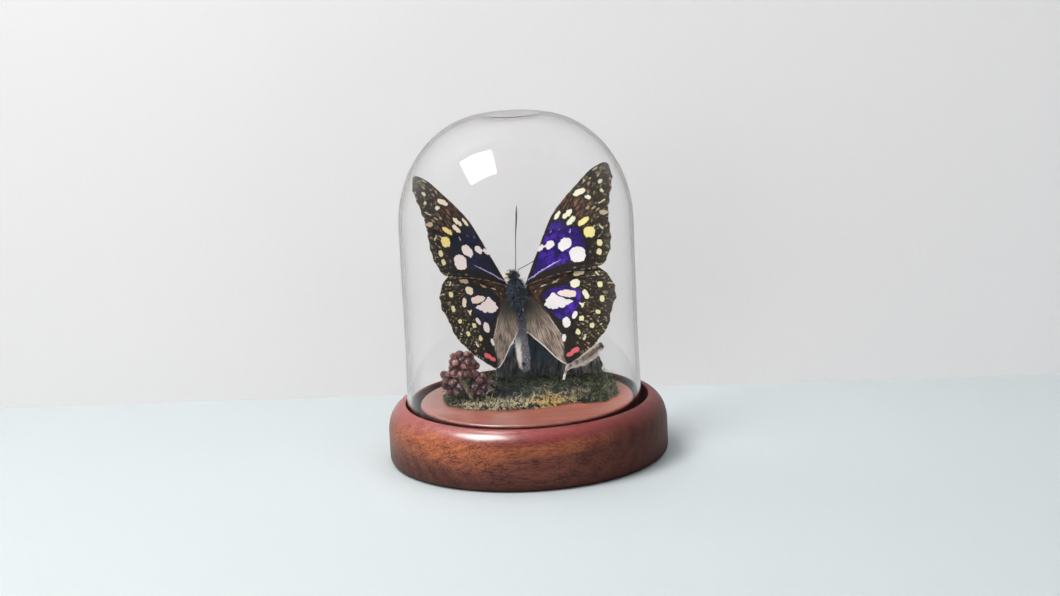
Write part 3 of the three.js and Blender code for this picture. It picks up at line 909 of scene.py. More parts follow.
CAPSULE_RED = (0.110, 0.034, 0.031)
CAPSULE_BROWN = (0.340, 0.150, 0.125)
CAPSULE_PLUM = (0.038, 0.019, 0.026)
CAPSULE_PALE = (0.60, 0.45, 0.42)
CAPSULE_CRACK_AND_GAP_SHADE = (0.010, 0.004, 0.005)
CAPSULE_MOUTH = (0.012, 0.008, 0.008)
husk = Finish("dry seed capsule", {"Roughness": 0.6, "Specular IOR Level": 0.2})
tone = husk.carried("tone")
tip = husk.carried("tip")
low_down = husk.split(husk.place)[2].fall(BASE_HEIGHT + 8 * MM, BASE_HEIGHT + 13.5 * MM)
skin = husk.noise(husk.place, 900, detail=4, roughness=0.6)
husk_colour = husk.mix((skin * 0.5 + tone * 0.7).rise(0.3, 0.95), CAPSULE_RED, CAPSULE_BROWN)
husk_colour = husk.mix(low_down * (0.55 + tone * 0.4), husk_colour, CAPSULE_PLUM)
crackle = husk.noise(husk.place, 1500, detail=3, roughness=0.7)
paled = tip.rise(0.8, 1.1) * 0.3 + skin.rise(0.56, 0.66) * 0.55
husk_colour = husk.mix(paled, husk_colour, CAPSULE_PALE)
husk_colour = husk.mix(crackle.fall(0.38, 0.5) * 0.75, husk_colour, CAPSULE_CRACK_AND_GAP_SHADE)
# Painted shade: capsules are darkened where they crowd against each other; the same dark also fills the
# cracks.
husk_colour = husk.mix(husk.carried("crowded") * 0.92, husk_colour, CAPSULE_CRACK_AND_GAP_SHADE)
husk.give("Base Color", husk.mix(tip.rise(1.4, 1.6), husk_colour, CAPSULE_MOUTH))
husk.give("Roughness", 0.45 + skin * 0.4)
husk.bump(skin + crackle, 0.2 * MM, 0.8)

for name, (twig_line, centres) in FORKS.items():
    twig = wire(name + "_twig", twig_line, [TWIG_RADIUS, 0.8 * TWIG_RADIUS])
    carry(twig, "tone", 0.2)
    carry(twig, "tip", 0.0)
    centres = np.array(centres)
    outwards = centres - np.mean(twig_line, axis=0) + draw.normal(0, 2.6, centres.shape)
    cluster = scattered(
        name + "_seeds",
        capsule_pattern,
        on_base(centres),
        facing(outwards, draw.uniform(0, 2 * math.pi, len(centres))),
        draw.uniform(0.92, 1.14, len(centres)),
        draw.uniform(0, 1, len(centres)),
    )
    pushed_out(cluster, 0.17 * MM * bumps(points_of(cluster) / MM, 0.75, 6.0))
    carry(cluster, "tip", np.tile(seed_tips, len(centres)))
    # How near each point is to the next capsule, for the painted shade between them.
    skins = points_of(cluster) / MM - [0, 0, BASE_HEIGHT / MM]
    gaps = np.sort(np.linalg.norm(skins[:, None] - centres[None], axis=2), axis=1)[:, 1]
    carry(cluster, "crowded", soft_step(-gaps, -2.6, -1.3))
    joined(twig, cluster)
    twig.name = name + "_husks"
    smoothed(twig, 45)
    husk.on(twig)
    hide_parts(name)
    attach(twig, "root")

# ---- Butterfly's body ----------------------------------------------------------------------
# The dried body of the butterfly: a blue-black thorax thick with down, a small head with two
# honey-brown eyes, and a furry grey abdomen that hangs down in front of the bark.

THORAX_CENTRE = (-2.3, 13, 35.5)
THORAX_RADII = (3.1, 3.0, 5.9)
HEAD_CENTRE = (-3.1, 12.3, 42.3)
HEAD_RADII = (2.0, 1.6, 1.5)
# Each eye: its middle, its half sizes, how much it leans outwards and how far it stands out.
EYES = {
    "eye_left": ((-5.5, 11.8, 42.4), (0.855, 0.95, 1.425), 0.45, 0.35 * MM),
    "eye_right": ((-0.7, 11.8, 42.3), (0.684, 0.76, 0.76), -0.3, -0.4 * MM),
}
ABDOMEN_SPINE = [
    (-1.6, 12.6, 31), (-1.4, 12.4, 25.5), (-1.0, 11.8, 17.5), (-0.3, 10.6, 10.9), (0.2, 10, 7.5),
]
ABDOMEN_RADII = [1.1, 1.9, 2.1, 2.05, 1.0]
ABDOMEN_RINGS = 7
ABDOMEN_VOXEL = 0.28 * MM


def egg(name, centre, radii, fine=4):
    """An egg-shaped ball, in mm above the base."""
    piece = start_piece(name, bpy.ops.mesh.primitive_ico_sphere_add, subdivisions=fine, radius=1)
    move_points(piece, points_of(piece) * np.array(radii) * MM + on_base(centre))
    return piece


def furred(piece, name, pattern, count, along, lift, sizes):
    """Scatters hairs over a piece, combed along a direction and lifted off its skin."""
    skin = piece.data.polygons
    areas = np.array([face.area for face in skin])
    chosen = draw.choice(len(areas), count, p=areas / areas.sum())
    centres = np.array([skin[k].center for k in chosen])
    normals = np.array([skin[k].normal for k in chosen])
    jitter = draw.normal(0, 0.22, (count, 3))
    directions = normals * lift + np.array(along) + jitter
    spins = draw.uniform(0, 2 * math.pi, count)
    return scattered(
        name, pattern, centres + jitter * 0.5 * MM - normals * 0.05 * MM, facing(directions, spins),
        draw.uniform(*sizes, count), draw.uniform(0, 1, count),
    )


def furry(name, skin, *parts):
    """Joins a skin with its fur and smaller parts, where what has no tone gets a middling one."""
    for piece in (skin, *parts):
        if "tone" not in piece.data.attributes:
            carry(piece, "tone", 0.3)
    joined(skin, *parts).name = name
    return skin


short_hair = pattern_of(strand(length=1.6 * MM, radius=0.075 * MM, bends=(4, 10, 14)))
long_hair = pattern_of(strand(length=3.2 * MM, radius=0.08 * MM, bends=(6, 14, 18)))
thorax_skin = egg("thorax_skin", THORAX_CENTRE, THORAX_RADII, 5)
pushed_out(thorax_skin, 0.22 * MM * bumps(points_of(thorax_skin) / MM, 1.3, 2.0) - 0.25 * MM)
thorax_fur = furred(
    thorax_skin, "thorax_fur", short_hair, count=3400, along=(0, 0, -0.8), lift=0.55, sizes=(0.6, 1.15)
)
side_fur = furred(
    thorax_skin, "side_fur", long_hair, count=900, along=(0, 0.1, -0.9), lift=0.8, sizes=(0.6, 1.1)
)
thorax = furry("furry_thorax", thorax_skin, thorax_fur, side_fur)

head_skin = egg("head_skin", HEAD_CENTRE, HEAD_RADII, 4)
palps = [egg("palp", (x, 10.6, 41.8), (0.35, 0.9, 0.5), 3) for x in (-3.6, -2.6)]
head_fur = furred(
    head_skin, "head_fur", short_hair, count=500, along=(0, -0.2, 0.25), lift=0.7, sizes=(0.35, 0.7)
)
head = furry("furry_head", head_skin, *palps, head_fur)

abdomen_skin = wire("abdomen_skin", ABDOMEN_SPINE, [r * MM for r in ABDOMEN_RADII], 10)
apply_modifier(abdomen_skin, "REMESH", mode="VOXEL", voxel_size=ABDOMEN_VOXEL)
apply_modifier(abdomen_skin, "SMOOTH", factor=0.7, iterations=8)
belly = points_of(abdomen_skin)
from_top = (BASE_HEIGHT + 30 * MM - belly[:, 2]) / (22.7 * MM)
pushed_out(abdomen_skin, 0.16 * MM * np.abs(np.sin(math.pi * ABDOMEN_RINGS * from_top)) - 0.1 * MM)
abdomen_fur = furred(
    abdomen_skin, "abdomen_fur", short_hair, count=4200, along=(0, 0, -1.1), lift=0.45, sizes=(0.45, 0.8)
)
abdomen = furry("furry_abdomen", abdomen_skin, abdomen_fur)

DOWN_BLACK = (0.006, 0.008, 0.014)
DOWN_BLUE = (0.130, 0.155, 0.200)
DOWN_GREY = (0.520, 0.510, 0.560)
DOWN_GLINT = (0.220, 0.260, 0.320)
DOWN_WHITE = (0.95, 0.91, 0.87)


def down_finish(name, low, high, amount):
    """Down that is blue-black, and greyer from one height to another."""
    down = Finish(name, {"Roughness": 0.75, "Specular IOR Level": 0.1})
    x, _, z = down.split(down.place)
    tone = down.carried("tone")
    clumps = down.noise(down.place, 900, detail=3)
    greyer = z.fall(BASE_HEIGHT + low * MM, BASE_HEIGHT + high * MM) * amount
    colour = down.mix((tone * 0.6 + clumps * 0.9).rise(0.55, 1.05), DOWN_BLACK, DOWN_BLUE)
    colour = down.mix(greyer * (0.2 + tone * 0.8), colour, DOWN_GREY)
    colour = down.mix(tone.rise(0.82, 0.96) * (1 - greyer) * 0.8, colour, DOWN_GLINT)
    low_end = z.fall(BASE_HEIGHT + 14 * MM, BASE_HEIGHT + 22 * MM) * (0.9 + tone * 0.6)
    pale_side = low_end * (x + clumps * 1.6 * MM).fall(-0.9 * MM, 0.1 * MM)
    colour = down.mix(pale_side * amount, colour, DOWN_WHITE)
    notch = away(x + 0.6 * MM, z - BASE_HEIGHT - 10 * MM).fall(0.3 * MM, 1.1 * MM)
    colour = down.mix(notch * amount * 0.9, colour, DOWN_BLACK)
    flecks = down.noise(down.place, 2600, detail=2).fall(0.42, 0.56)
    down.give("Base Color", down.mix(flecks * (0.7 - pale_side * 0.6), colour, DOWN_BLACK))
    down.give("Roughness", 0.6 + clumps * 0.3)
    return down


down_finish("blue-black down", low=27, high=40, amount=0.0).on(thorax, head)
down_finish("grey down", low=12, high=31, amount=1.0).on(abdomen)
for node, piece in (
    ("butterfly_thorax", thorax),
    ("butterfly_head", head),
    ("butterfly_abdomen", abdomen),
):
    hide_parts(node)
    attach(piece, "root")

EYE_BROWN = (0.050, 0.030, 0.012)
EYE_HONEY = (0.78, 0.66, 0.34)
EYE_SEAM = (0.02, 0.012, 0.006)
honey = Finish("insect eye", {"Roughness": 0.25, "Coat Weight": 0.5, "Coat Roughness": 0.1})
facets = honey.node("TexVoronoi", {"feature": "F1"}, {"Vector": honey.place, "Scale": 9000})
eye_band = honey.noise(honey.stretched((500, 500, 1400)), detail=2)
# Painted light: only the left eye, on the lit side, gets the honey band; the right eye stays dark brown
# as painted shade.
lit_eye = honey.split(honey.place)[0].fall(-4 * MM, -2 * MM)
eye_colour = honey.mix(eye_band.rise(0.34, 0.5) * lit_eye, EYE_BROWN, EYE_HONEY)
honey.give("Base Color", honey.mix(facets * 0.2, eye_colour, EYE_SEAM))
honey.give("Roughness", 0.2 + facets * 0.2)
honey.bump(facets, 0.03 * MM, 0.5)
for node, (centre, radii, lean, stand_out) in EYES.items():
    eye = egg(node + "_ball", centre, radii, 4)
    ball = points_of(eye)
    ball[:, 0] += lean * (ball[:, 2] - ball[:, 2].mean()) + stand_out
    move_points(eye, ball)
    smoothed(eye, 180)
    honey.on(eye)
    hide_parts(node)
    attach(eye, "root")

# ---- Antennae ------------------------------------------------------------------------------
# Two thin black feelers that thicken to a long club. One stands up in front of the wings, and
# the other passes behind the right forewing.

FEELERS = {
    "antenna_left": [
        (-1.9, 11.4, 44.4), (-1.6, 8.4, 50.1), (-1.4, 6, 56.2), (-0.8, 4, 63.5), (-0.5, 3, 69),
    ],
    "antenna_right": [
        (-1, 12.6, 44.1), (0.6, 13.8, 44.6), (2.4, 15.6, 45.1), (5, 17, 46.3), (10.2, 18.4, 49.5),
        (15, 19.4, 53.9), (18, 20, 58.5),
    ],
}
FEELER_RADII = [radius * MM for radius in (0.15, 0.13, 0.13, 0.14, 0.16, 0.26, 0.3, 0.1)]
FEELER_RINGS_PER_METRE = 12000
FEELER_BLACK = (0.010, 0.009, 0.008)
FEELER_GREY = (0.055, 0.045, 0.038)

feeler = Finish("feeler", {"Roughness": 0.5})
x, _, z = feeler.split(feeler.place)
feeler_rings = ((z + x * 0.5) * FEELER_RINGS_PER_METRE).math("SINE") * 0.5 + 0.5
feeler.give("Base Color", feeler.mix(feeler_rings, FEELER_BLACK, FEELER_GREY))
feeler.give("Roughness", 0.4 + feeler_rings * 0.2)
for node, line in FEELERS.items():
    thread = wire(node + "_thread", line, FEELER_RADII)
    smoothed(thread, 60)
    feeler.on(thread)
    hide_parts(node)
    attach(thread, "root")

# ---- Wings ---------------------------------------------------------------------------------
# Four thin scaled wings, dried in a raised V, each hindwing rooted just behind its forewing. The brown
# scales bear pale spots, and the inner half has a violet sheen painted into its colour: bright on the
# right wings as painted light, dark navy on the left wings as painted shade. Left and right are the same
# shapes mirrored, in mm from the root, outwards and towards the head.

# How thick a wing is, how many steps its grid has each way, and how deep its front lies.
WING_THICKNESS = 0.16
WING_STEPS = {"forewing": (170, 215), "hindwing": (175, 185)}
WING_FRONTS = {"forewing": -0.23, "hindwing": 0.47}
# Each side's root, in mm above the base, and its turn outwards, lean back and roll in degrees.
RIGHT_WINGS = {"root": (0.9, 14, 38.9), "turn": -20, "back": 8, "roll": 0, "mirror": 1}
LEFT_WINGS = {"root": (-5.1, 14, 39), "turn": 48.2, "back": 20.2, "roll": -2.5, "mirror": -1}
WING_SHAPES = {
    "forewing": [
        (0.9, -0.9), (1, 0.6), (3.2, 6.5), (5.3, 11.8), (7.8, 18.2), (10.9, 25), (15.5, 31),
        (20, 35.8), (24.6, 40.6), (29, 43.3), (31.6, 43.8), (33.2, 42.2), (33.9, 39.2), (33.8, 36),
        (33.1, 32), (32.6, 28), (32.6, 24), (33.2, 20), (33.5, 15.8), (33, 12.2), (30.7, 7.8),
        (28, 6.5), (21.5, 5.2), (14, 3.6), (7, 1.4),
    ],
    "hindwing": [
        (1.2, -0.6), (8, 3.6), (16, 6.3), (24, 7.2), (28.4, 6.4), (31, 4.8), (33.6, 2),
        (34.9, -1.2), (35.1, -4.4), (33.8, -7.8), (33.1, -11.4), (32, -15.2), (29.2, -18.8),
        (27, -21.4), (22.8, -24.8), (19.8, -27.2), (16.3, -29), (12.4, -27.1), (7.4, -22.8),
        (3.0, -19.5), (0.2, -16.6), (-0.3, -12), (-0.3, -6),
    ],
}
VEINS = {
    "forewing": [
        [(1.2, 0.6), (6, 11), (11.6, 22.4), (17, 30), (24, 37.5), (30.5, 42.5)],
        [(1.2, 0.4), (6.6, 10), (12.6, 21.6), (15, 26.3), (19, 30.5), (27, 36.5), (33.6, 40)],
        [(12.6, 21.6), (14.6, 22.9), (17.2, 25), (20, 27.8), (26, 32.3), (33.5, 36)],
        [(14, 20.4), (15.9, 21.4), (20.2, 24.2), (26, 28.3), (33, 31)],
        [(15, 18.8), (17.5, 20.2), (21.3, 21.1), (26.5, 22.6), (32.6, 26)],
        [(12.6, 16.4), (18.4, 16.2), (24, 15.8), (33.2, 18)],
        [(8, 9.7), (13.5, 11.4), (18.4, 13.4), (24, 14), (33.2, 14.2)],
        [(1.3, 0.2), (8, 3.9), (16, 7), (24, 8), (31, 9)],
    ],
    "hindwing": [
        [(1.6, -0.8), (9, 0.6), (18, 2.3), (25, 5), (30.5, 5)],
        [(4, -1.8), (12, -1.5), (21.6, -0.6), (27, 1.8), (33.4, 2)],
        [(9, -3), (12.3, -4.1), (14.2, -4.9), (18.6, -5.2), (21.4, -5.4), (27.5, -2.5), (34.8, -2.5)],
        [(7, -4.6), (12, -7.8), (17.6, -9.2), (25, -8.6), (33.8, -7.8)],
        [(6, -6.5), (12, -10.6), (17.6, -11.8), (24, -13.4), (32.3, -14.6)],
        [(4, -6), (10, -11), (15, -16.6), (21.5, -15.4), (29, -18.9)],
        [(3, -6), (9, -13), (14.4, -19), (18, -21.8), (23, -24.6)],
        [(2, -6), (6, -14), (11, -21), (15.4, -27.8)],
    ],
}

# Spot colours, and the spots: place, half length, half width, tilt in degrees, colour, strength.
WHITE = (0.86, 0.82, 0.84)
PEACH = (0.86, 0.74, 0.64)
CREAM = (0.84, 0.80, 0.60)
YELLOW = (0.86, 0.74, 0.24)
LEMON = (0.80, 0.76, 0.38)
BUFF = (0.50, 0.39, 0.22)
OLIVE = (0.33, 0.29, 0.13)
LILAC = (0.42, 0.33, 0.72)
ROSE = (0.72, 0.055, 0.095)
SPOTS = {
    "forewing": [
        (12.8, 24.5, 2.1, 0.8, 56, CREAM, 1), (16.7, 25.1, 2.5, 0.98, 44, CREAM, 1),
        (18.0, 22.7, 2.2, 1.0, 42, CREAM, 1), (22.7, 22.6, 2.6, 1.05, 36, YELLOW, 1),
        (25.0, 18.8, 2.2, 1.95, 0, YELLOW, 1), (26.8, 20.8, 0.8, 0.35, 60, BUFF, 0.8),
        (20.5, 10.7, 3.1, 2.8, 12, WHITE, 1), (15.6, 14.2, 2.9, 2.0, 38, WHITE, 1),
        (9.9, 13.9, 1.9, 1.35, 35, WHITE, 1), (6.4, 12.6, 1.8, 0.8, 48, WHITE, 1),
        (8.0, 13.3, 0.9, 0.35, 10, WHITE, 1), (17.6, 19.1, 1.0, 0.42, 68, LILAC, 1),
        (21.1, 33.0, 2.6, 1.15, 24, CREAM, 1), (24.4, 31.3, 1.2, 0.85, -8, CREAM, 1),
        (28.9, 37.0, 1.1, 0.7, 40, CREAM, 0.95), (29.6, 33.7, 0.85, 0.65, 0, LEMON, 0.95),
        (27.1, 41.5, 1.4, 0.42, 38, BUFF, 1), (28.2, 39.2, 0.9, 0.35, 50, BUFF, 0.9),
        (30.7, 41.6, 0.7, 0.22, -60, CREAM, 0.7), (24.8, 36.2, 1.1, 0.38, 38, BUFF, 0.6),
        (29.6, 29.8, 2.0, 0.34, 32, LEMON, 0.9), (26.6, 27.5, 1.3, 0.42, 30, BUFF, 0.8),
        (24.2, 27.4, 0.9, 0.5, 60, OLIVE, 0.9), (30.4, 25.9, 1.9, 0.85, 4, BUFF, 1),
        (29.4, 20.8, 1.5, 0.45, -52, CREAM, 0.75), (28.9, 15.1, 1.15, 1.25, 0, LEMON, 0.9),
        (28.7, 11.9, 0.95, 1.3, 0, LEMON, 0.95), (32.6, 12.4, 1.9, 0.2, 82, CREAM, 0.8),
        (10.4, 18.6, 0.8, 0.28, 60, LILAC, 0.4), (13.5, 19.4, 1.2, 0.22, 20, LILAC, 0.45),
        (3.6, 7.8, 0.7, 0.22, 55, LILAC, 0.8), (19.4, 6.0, 1.0, 0.25, 20, BUFF, 0.5),
        (22.6, 6.7, 1.6, 0.18, 26, BUFF, 0.6), (32.2, 29.6, 1.1, 0.14, 12, CREAM, 0.9),
        (32.2, 16.0, 0.9, 0.13, 0, CREAM, 0.8), (31.4, 33.6, 1.0, 0.16, 8, BUFF, 0.7),
        (27.6, 32.6, 1.2, 0.2, 62, BUFF, 0.5), (26.0, 35.2, 0.9, 0.22, 30, BUFF, 0.5),
        (31.6, 24.4, 0.9, 0.2, 0, CREAM, 0.7), (25.3, 11.8, 0.8, 0.4, 60, BUFF, 0.3),
        (24.8, 29.0, 1.6, 0.18, 30, BUFF, 0.45), (28.0, 35.0, 0.5, 0.25, 60, CREAM, 0.6),
    ],
    "hindwing": [
        (19.4, 0.2, 1.95, 1.55, 14, CREAM, 1), (20.7, 3.9, 2.4, 0.85, 12, BUFF, 1),
        (27.7, 4.0, 1.2, 0.45, -45, CREAM, 0.8), (28.8, 0.2, 1.15, 1.1, 0, LEMON, 1),
        (23.4, -3.6, 1.95, 1.05, -58, CREAM, 1), (29.6, -5.0, 0.95, 1.3, 0, LEMON, 1),
        (33.2, -5.6, 1.0, 0.2, -45, WHITE, 0.9), (28.1, -9.7, 1.0, 0.85, 0, LEMON, 1),
        (25.8, -9.7, 1.4, 0.3, 24, BUFF, 0.6), (24.5, -11.4, 0.5, 0.42, 0, BUFF, 0.7),
        (19.3, -11.1, 1.55, 0.85, 64, WHITE, 1), (21.9, -12.2, 0.95, 1.0, 0, LEMON, 1),
        (16.0, -13.9, 1.5, 2.0, 0, WHITE, 1), (25.8, -14.7, 0.95, 1.0, 0, LEMON, 1),
        (29.1, -14.1, 0.8, 0.35, 30, CREAM, 0.8), (28.4, -11.6, 0.5, 0.3, 0, BUFF, 0.7),
        (20.5, -17.2, 0.95, 1.15, 0, LEMON, 1), (23.0, -19.3, 1.25, 0.5, 52, CREAM, 0.95),
        (23.4, -18.1, 0.9, 0.35, 20, CREAM, 0.6), (15.2, -19.5, 0.82, 1.5, 0, WHITE, 1),
        (19.5, -23.9, 1.9, 0.95, 22, ROSE, 1), (17.4, -25.4, 1.5, 0.85, 30, ROSE, 1),
        (7.2, -0.9, 1.6, 0.3, 26, PEACH, 0.8), (11.8, 0.8, 1.9, 0.42, 28, BUFF, 0.8),
        (4.4, -3.1, 0.5, 0.35, 0, PEACH, 0.4), (25.4, 0.4, 1.2, 0.16, -35, BUFF, 0.5),
        (22.4, -0.6, 1.2, 0.16, -35, BUFF, 0.5), (22.6, -2.6, 1.0, 0.13, -30, BUFF, 0.4),
        (31.0, -8.6, 1.4, 0.12, -28, BUFF, 0.5), (30.6, -10.6, 1.6, 0.12, -30, BUFF, 0.35),
        (25.2, -17.0, 0.6, 0.3, 70, BUFF, 0.4), (31.4, -12.8, 0.5, 0.3, 0, BUFF, 0.4),
    ],
}
# Patches that no oval fits: an outline, its colour and strength.
PATCHES = {
    "forewing": [([(1.5, 0.75), (8, 5.0), (14.6, 8.9), (14.2, 8.95), (7.6, 5.3), (1.3, 1.1)], LILAC, 1)],
    "hindwing": [
        ([(8.6, -11.2), (9.0, -11.3), (14.8, -18.8), (14.6, -19.2), (11.6, -15.6)], PEACH, 0.5),
        (
            [
                (7.5, -7.9), (8.2, -6.2), (9.6, -4.6), (10.6, -3.3), (11.6, -3.5), (12.4, -4.3),
                (14.4, -5.1), (17.6, -5.7), (19.0, -6.4), (17.4, -7.0), (16, -7.9), (15, -8.6),
                (13.9, -8.8), (13.2, -8.3), (12.6, -9.0), (11, -9.25), (9, -8.9),
            ],
            WHITE,
            1,
        ),
        (
            [
                (12.2, -3.5), (13.6, -2.5), (16.5, -2.2), (19.3, -2.4), (19.9, -3.2), (19.3, -4.5),
                (17.5, -4.9), (14.2, -4.5),
            ],
            PEACH,
            1,
        ),
        ([(20.6, -6.8), (23.4, -6.35), (22.9, -7.2), (22.0, -8.8), (21.6, -7.8)], CREAM, 1),
    ],
}
# Soft zones: an outline and how far its edge fades, both in mm.
ZONES = {
    "forewing": {
        "violet": (
            [
                (1.5, 1.6), (4.4, 9), (8, 17.6), (10.8, 22.4), (14.2, 22.8), (17.2, 20.6), (20.6, 20.4),
                (22.3, 17.2), (23.4, 14.6), (24, 11.5), (22, 8.4), (18.5, 8), (12, 6.4), (6, 3.2),
            ],
            1.5,
        ),
        "russet": (
            [
                (11.5, 25), (15, 31), (20, 36), (25, 35), (26, 29), (28, 24), (24, 20), (20, 22),
                (17, 26.5),
            ],
            2.0,
        ),
        "outer": ([(20, 37), (27, 43), (34, 44), (35, 5), (27, 6), (27, 14), (25, 28)], 5.0),
        "fold": ([(0, -2), (1, -3), (1, -2)], 0.1),
    },
    "hindwing": {
        "violet": (
            [
                (6.6, -4.4), (9.6, -1.9), (16, -0.4), (21.4, -2.2), (21.6, -6), (19.8, -9),
                (18, -11.4), (14.4, -13.4), (10.4, -10.6),
            ],
            0.9,
        ),
        "russet": (
            [(1.5, -0.5), (7, 3), (16, 5), (16, 2.6), (8, -1), (5, -5), (8, -9), (5, -9)],
            1.4,
        ),
        "outer": ([(22, 8), (36, 8), (36, -20), (23, -26), (20, -20), (22, -8)], 5.0),
        "fold": (
            [
                (-1, -4), (3, -5), (6, -8.5), (9.4, -11.4), (14.2, -18.4), (15.2, -22), (15, -26),
                (16.5, -30), (-2, -20),
            ],
            1.0,
        ),
    },
}


def distance_inside(outline, x, z):
    """How far inside an outline each place is, in mm, and below 0 outside."""
    nearest = np.full(x.shape, 1e9)
    inside = np.zeros(x.shape, bool)
    for (ax, az), (bx, bz) in zip(outline, outline[1:] + outline[:1]):
        nearest = np.minimum(nearest, distance_to_line(x, z, ax, az, bx, bz))
        if az != bz:
            inside ^= ((az > z) != (bz > z)) & (x < (bx - ax) * (z - az) / (bz - az) + ax)
    return np.where(inside, nearest, -nearest)


def distance_to_line(x, z, ax, az, bx, bz):
    """How far each place is from a straight line between two points."""
    share = ((x - ax) * (bx - ax) + (z - az) * (bz - az)) / max((bx - ax) ** 2 + (bz - az) ** 2, 1e-9)
    share = np.clip(share, 0, 1)
    return np.hypot(x - ax - share * (bx - ax), z - az - share * (bz - az))


def spot_field(spot, x, z):
    """How far inside a rounded spot each place is, in mm."""
    centre_x, centre_z, half_length, half_width, tilt = spot[:5]
    c, s = math.cos(math.radians(tilt)), math.sin(math.radians(tilt))
    u = np.abs((x - centre_x) * c + (z - centre_z) * s) / half_length
    v = np.abs((z - centre_z) * c - (x - centre_x) * s) / half_width
    return (1 - (u**2.5 + v**2.5) ** 0.4) * min(half_length, half_width)


def wing_outline(kind):
    """The wing's edge, with shallow scallops between the veins along its outer margin."""
    line = curve_through(WING_SHAPES[kind], 6, closed=True)
    scallop = 0.5 * np.abs(np.sin(line[:, 1] * math.pi / 4.3)) + 0.25 * bumps(line, 1.3, 2.0) + 0.1
    line[:, 0] -= soft_step(line[:, 0], 24, 31) * np.clip(scallop, 0, 1)
    return line


def wing_blank(kind):
    """A flat thin wing on its own plane, fine enough to carry its markings."""
    outline = wing_outline(kind)
    front = WING_FRONTS[kind]
    low, high = outline.min(axis=0) - 0.5, outline.max(axis=0) + 0.5
    blank = start_piece(
        kind, bpy.ops.mesh.primitive_grid_add,
        x_subdivisions=WING_STEPS[kind][0], y_subdivisions=WING_STEPS[kind][1], size=1,
        rotation=(math.radians(90), 0, 0),
    )
    centre, size = (low + high) / 2, high - low
    places = points_of(blank) * [size[0], 0, size[1]] + [centre[0], front, centre[1]]
    move_points(blank, places * MM)
    opened()
    bpy.ops.mesh.extrude_region_move(TRANSFORM_OT_translate={"value": (0, WING_THICKNESS * MM, 0)})
    closed_up(blank)
    cutter = slab("wing_cutter", outline, (front - 1) * MM, (front + 1) * MM, floor=0)
    apply_modifier(blank, "BOOLEAN", operation="INTERSECT", solver="EXACT", object=cutter)
    bpy.data.objects.remove(cutter)
    return blank


def mark_wing(piece, kind):
    """Works out every marking at each point of a wing, and raises its veins."""
    places = points_of(piece) / MM
    x, z = places[:, 0], places[:, 2]
    upper = places[:, 1] < WING_FRONTS[kind] + WING_THICKNESS / 2
    flat = places[:, [0, 2]]
    ragged = [
        axis + 0.38 * bumps(flat, 0.9, coarse) + 0.16 * bumps(flat, 0.4, fine)
        for axis, coarse, fine in ((x, 1.0, 4.0), (z, 7.0, 9.0))
    ]
    marks = [(spot_field(spot, *ragged) - 0.07, spot[5], spot[6]) for spot in SPOTS[kind]]
    for outline, colour, strength in PATCHES[kind]:
        marks.append((distance_inside(outline, *ragged), colour, strength))
    fields = np.array([field for field, _, _ in marks])
    nearest = fields.argmax(axis=0)
    colours = np.array([(*colour, strength) for _, colour, strength in marks])
    vein_gap = np.full(x.shape, 1e9)
    for vein in VEINS[kind]:
        line = curve_through(vein, 3)
        for (ax, az), (bx, bz) in zip(line, line[1:]):
            vein_gap = np.minimum(vein_gap, distance_to_line(x, z, ax, az, bx, bz))
    margin = distance_inside([tuple(p) for p in wing_outline(kind)], x, z)
    carry(piece, "spot", np.clip(fields.max(axis=0), -1.5, 1.5))
    carry(piece, "spot_colour", colours[nearest], "FLOAT_COLOR")
    carry(piece, "vein", np.exp(-((vein_gap / 0.2) ** 2)))
    carry(piece, "margin", margin)
    carry(piece, "upper", upper)
    for name, (outline, fade) in ZONES[kind].items():
        carry(piece, name, soft_step(distance_inside(outline, x, z), -fade / 2, fade / 2))
    root_distance = np.hypot(x, z)
    carry(piece, "rays", np.column_stack([root_distance, np.arctan2(x, z), 0 * x]), "FLOAT_VECTOR")
    relief = 0.05 * np.exp(-((vein_gap / 0.28) ** 2))
    camber = 0.12 * np.sin(root_distance / 7.0)
    places[:, 1] += np.where(upper, -relief, relief) + camber * soft_step(margin, 0, 4)
    move_points(piece, places * MM)


SCALE_BROWN = (0.016, 0.010, 0.006)
SCALE_TAN = (0.150, 0.088, 0.036)
SCALE_RUSSET = (0.270, 0.105, 0.042)
FLECK = (0.46, 0.39, 0.21)
FOLD_DARK = (0.060, 0.043, 0.034)
FOLD_PALE = (0.34, 0.27, 0.215)
FOLD_ROOT = (0.040, 0.035, 0.028)
FOLD_RIM = (0.66, 0.60, 0.57)
VEIN_BROWN = (0.010, 0.007, 0.007)
HALO_BROWN = (0.010, 0.007, 0.005)
SPOT_DUST = (0.45, 0.38, 0.36)
FRINGE = (0.58, 0.52, 0.42)
UNDER_DARK = (0.20, 0.19, 0.125)
UNDER_PALE = (0.34, 0.33, 0.24)
UNDER_VEIN = (0.10, 0.085, 0.05)
UNDER_SPOT = (0.70, 0.70, 0.62)
CARRIED = ("spot", "vein", "margin", "upper", "violet", "russet", "outer", "fold")


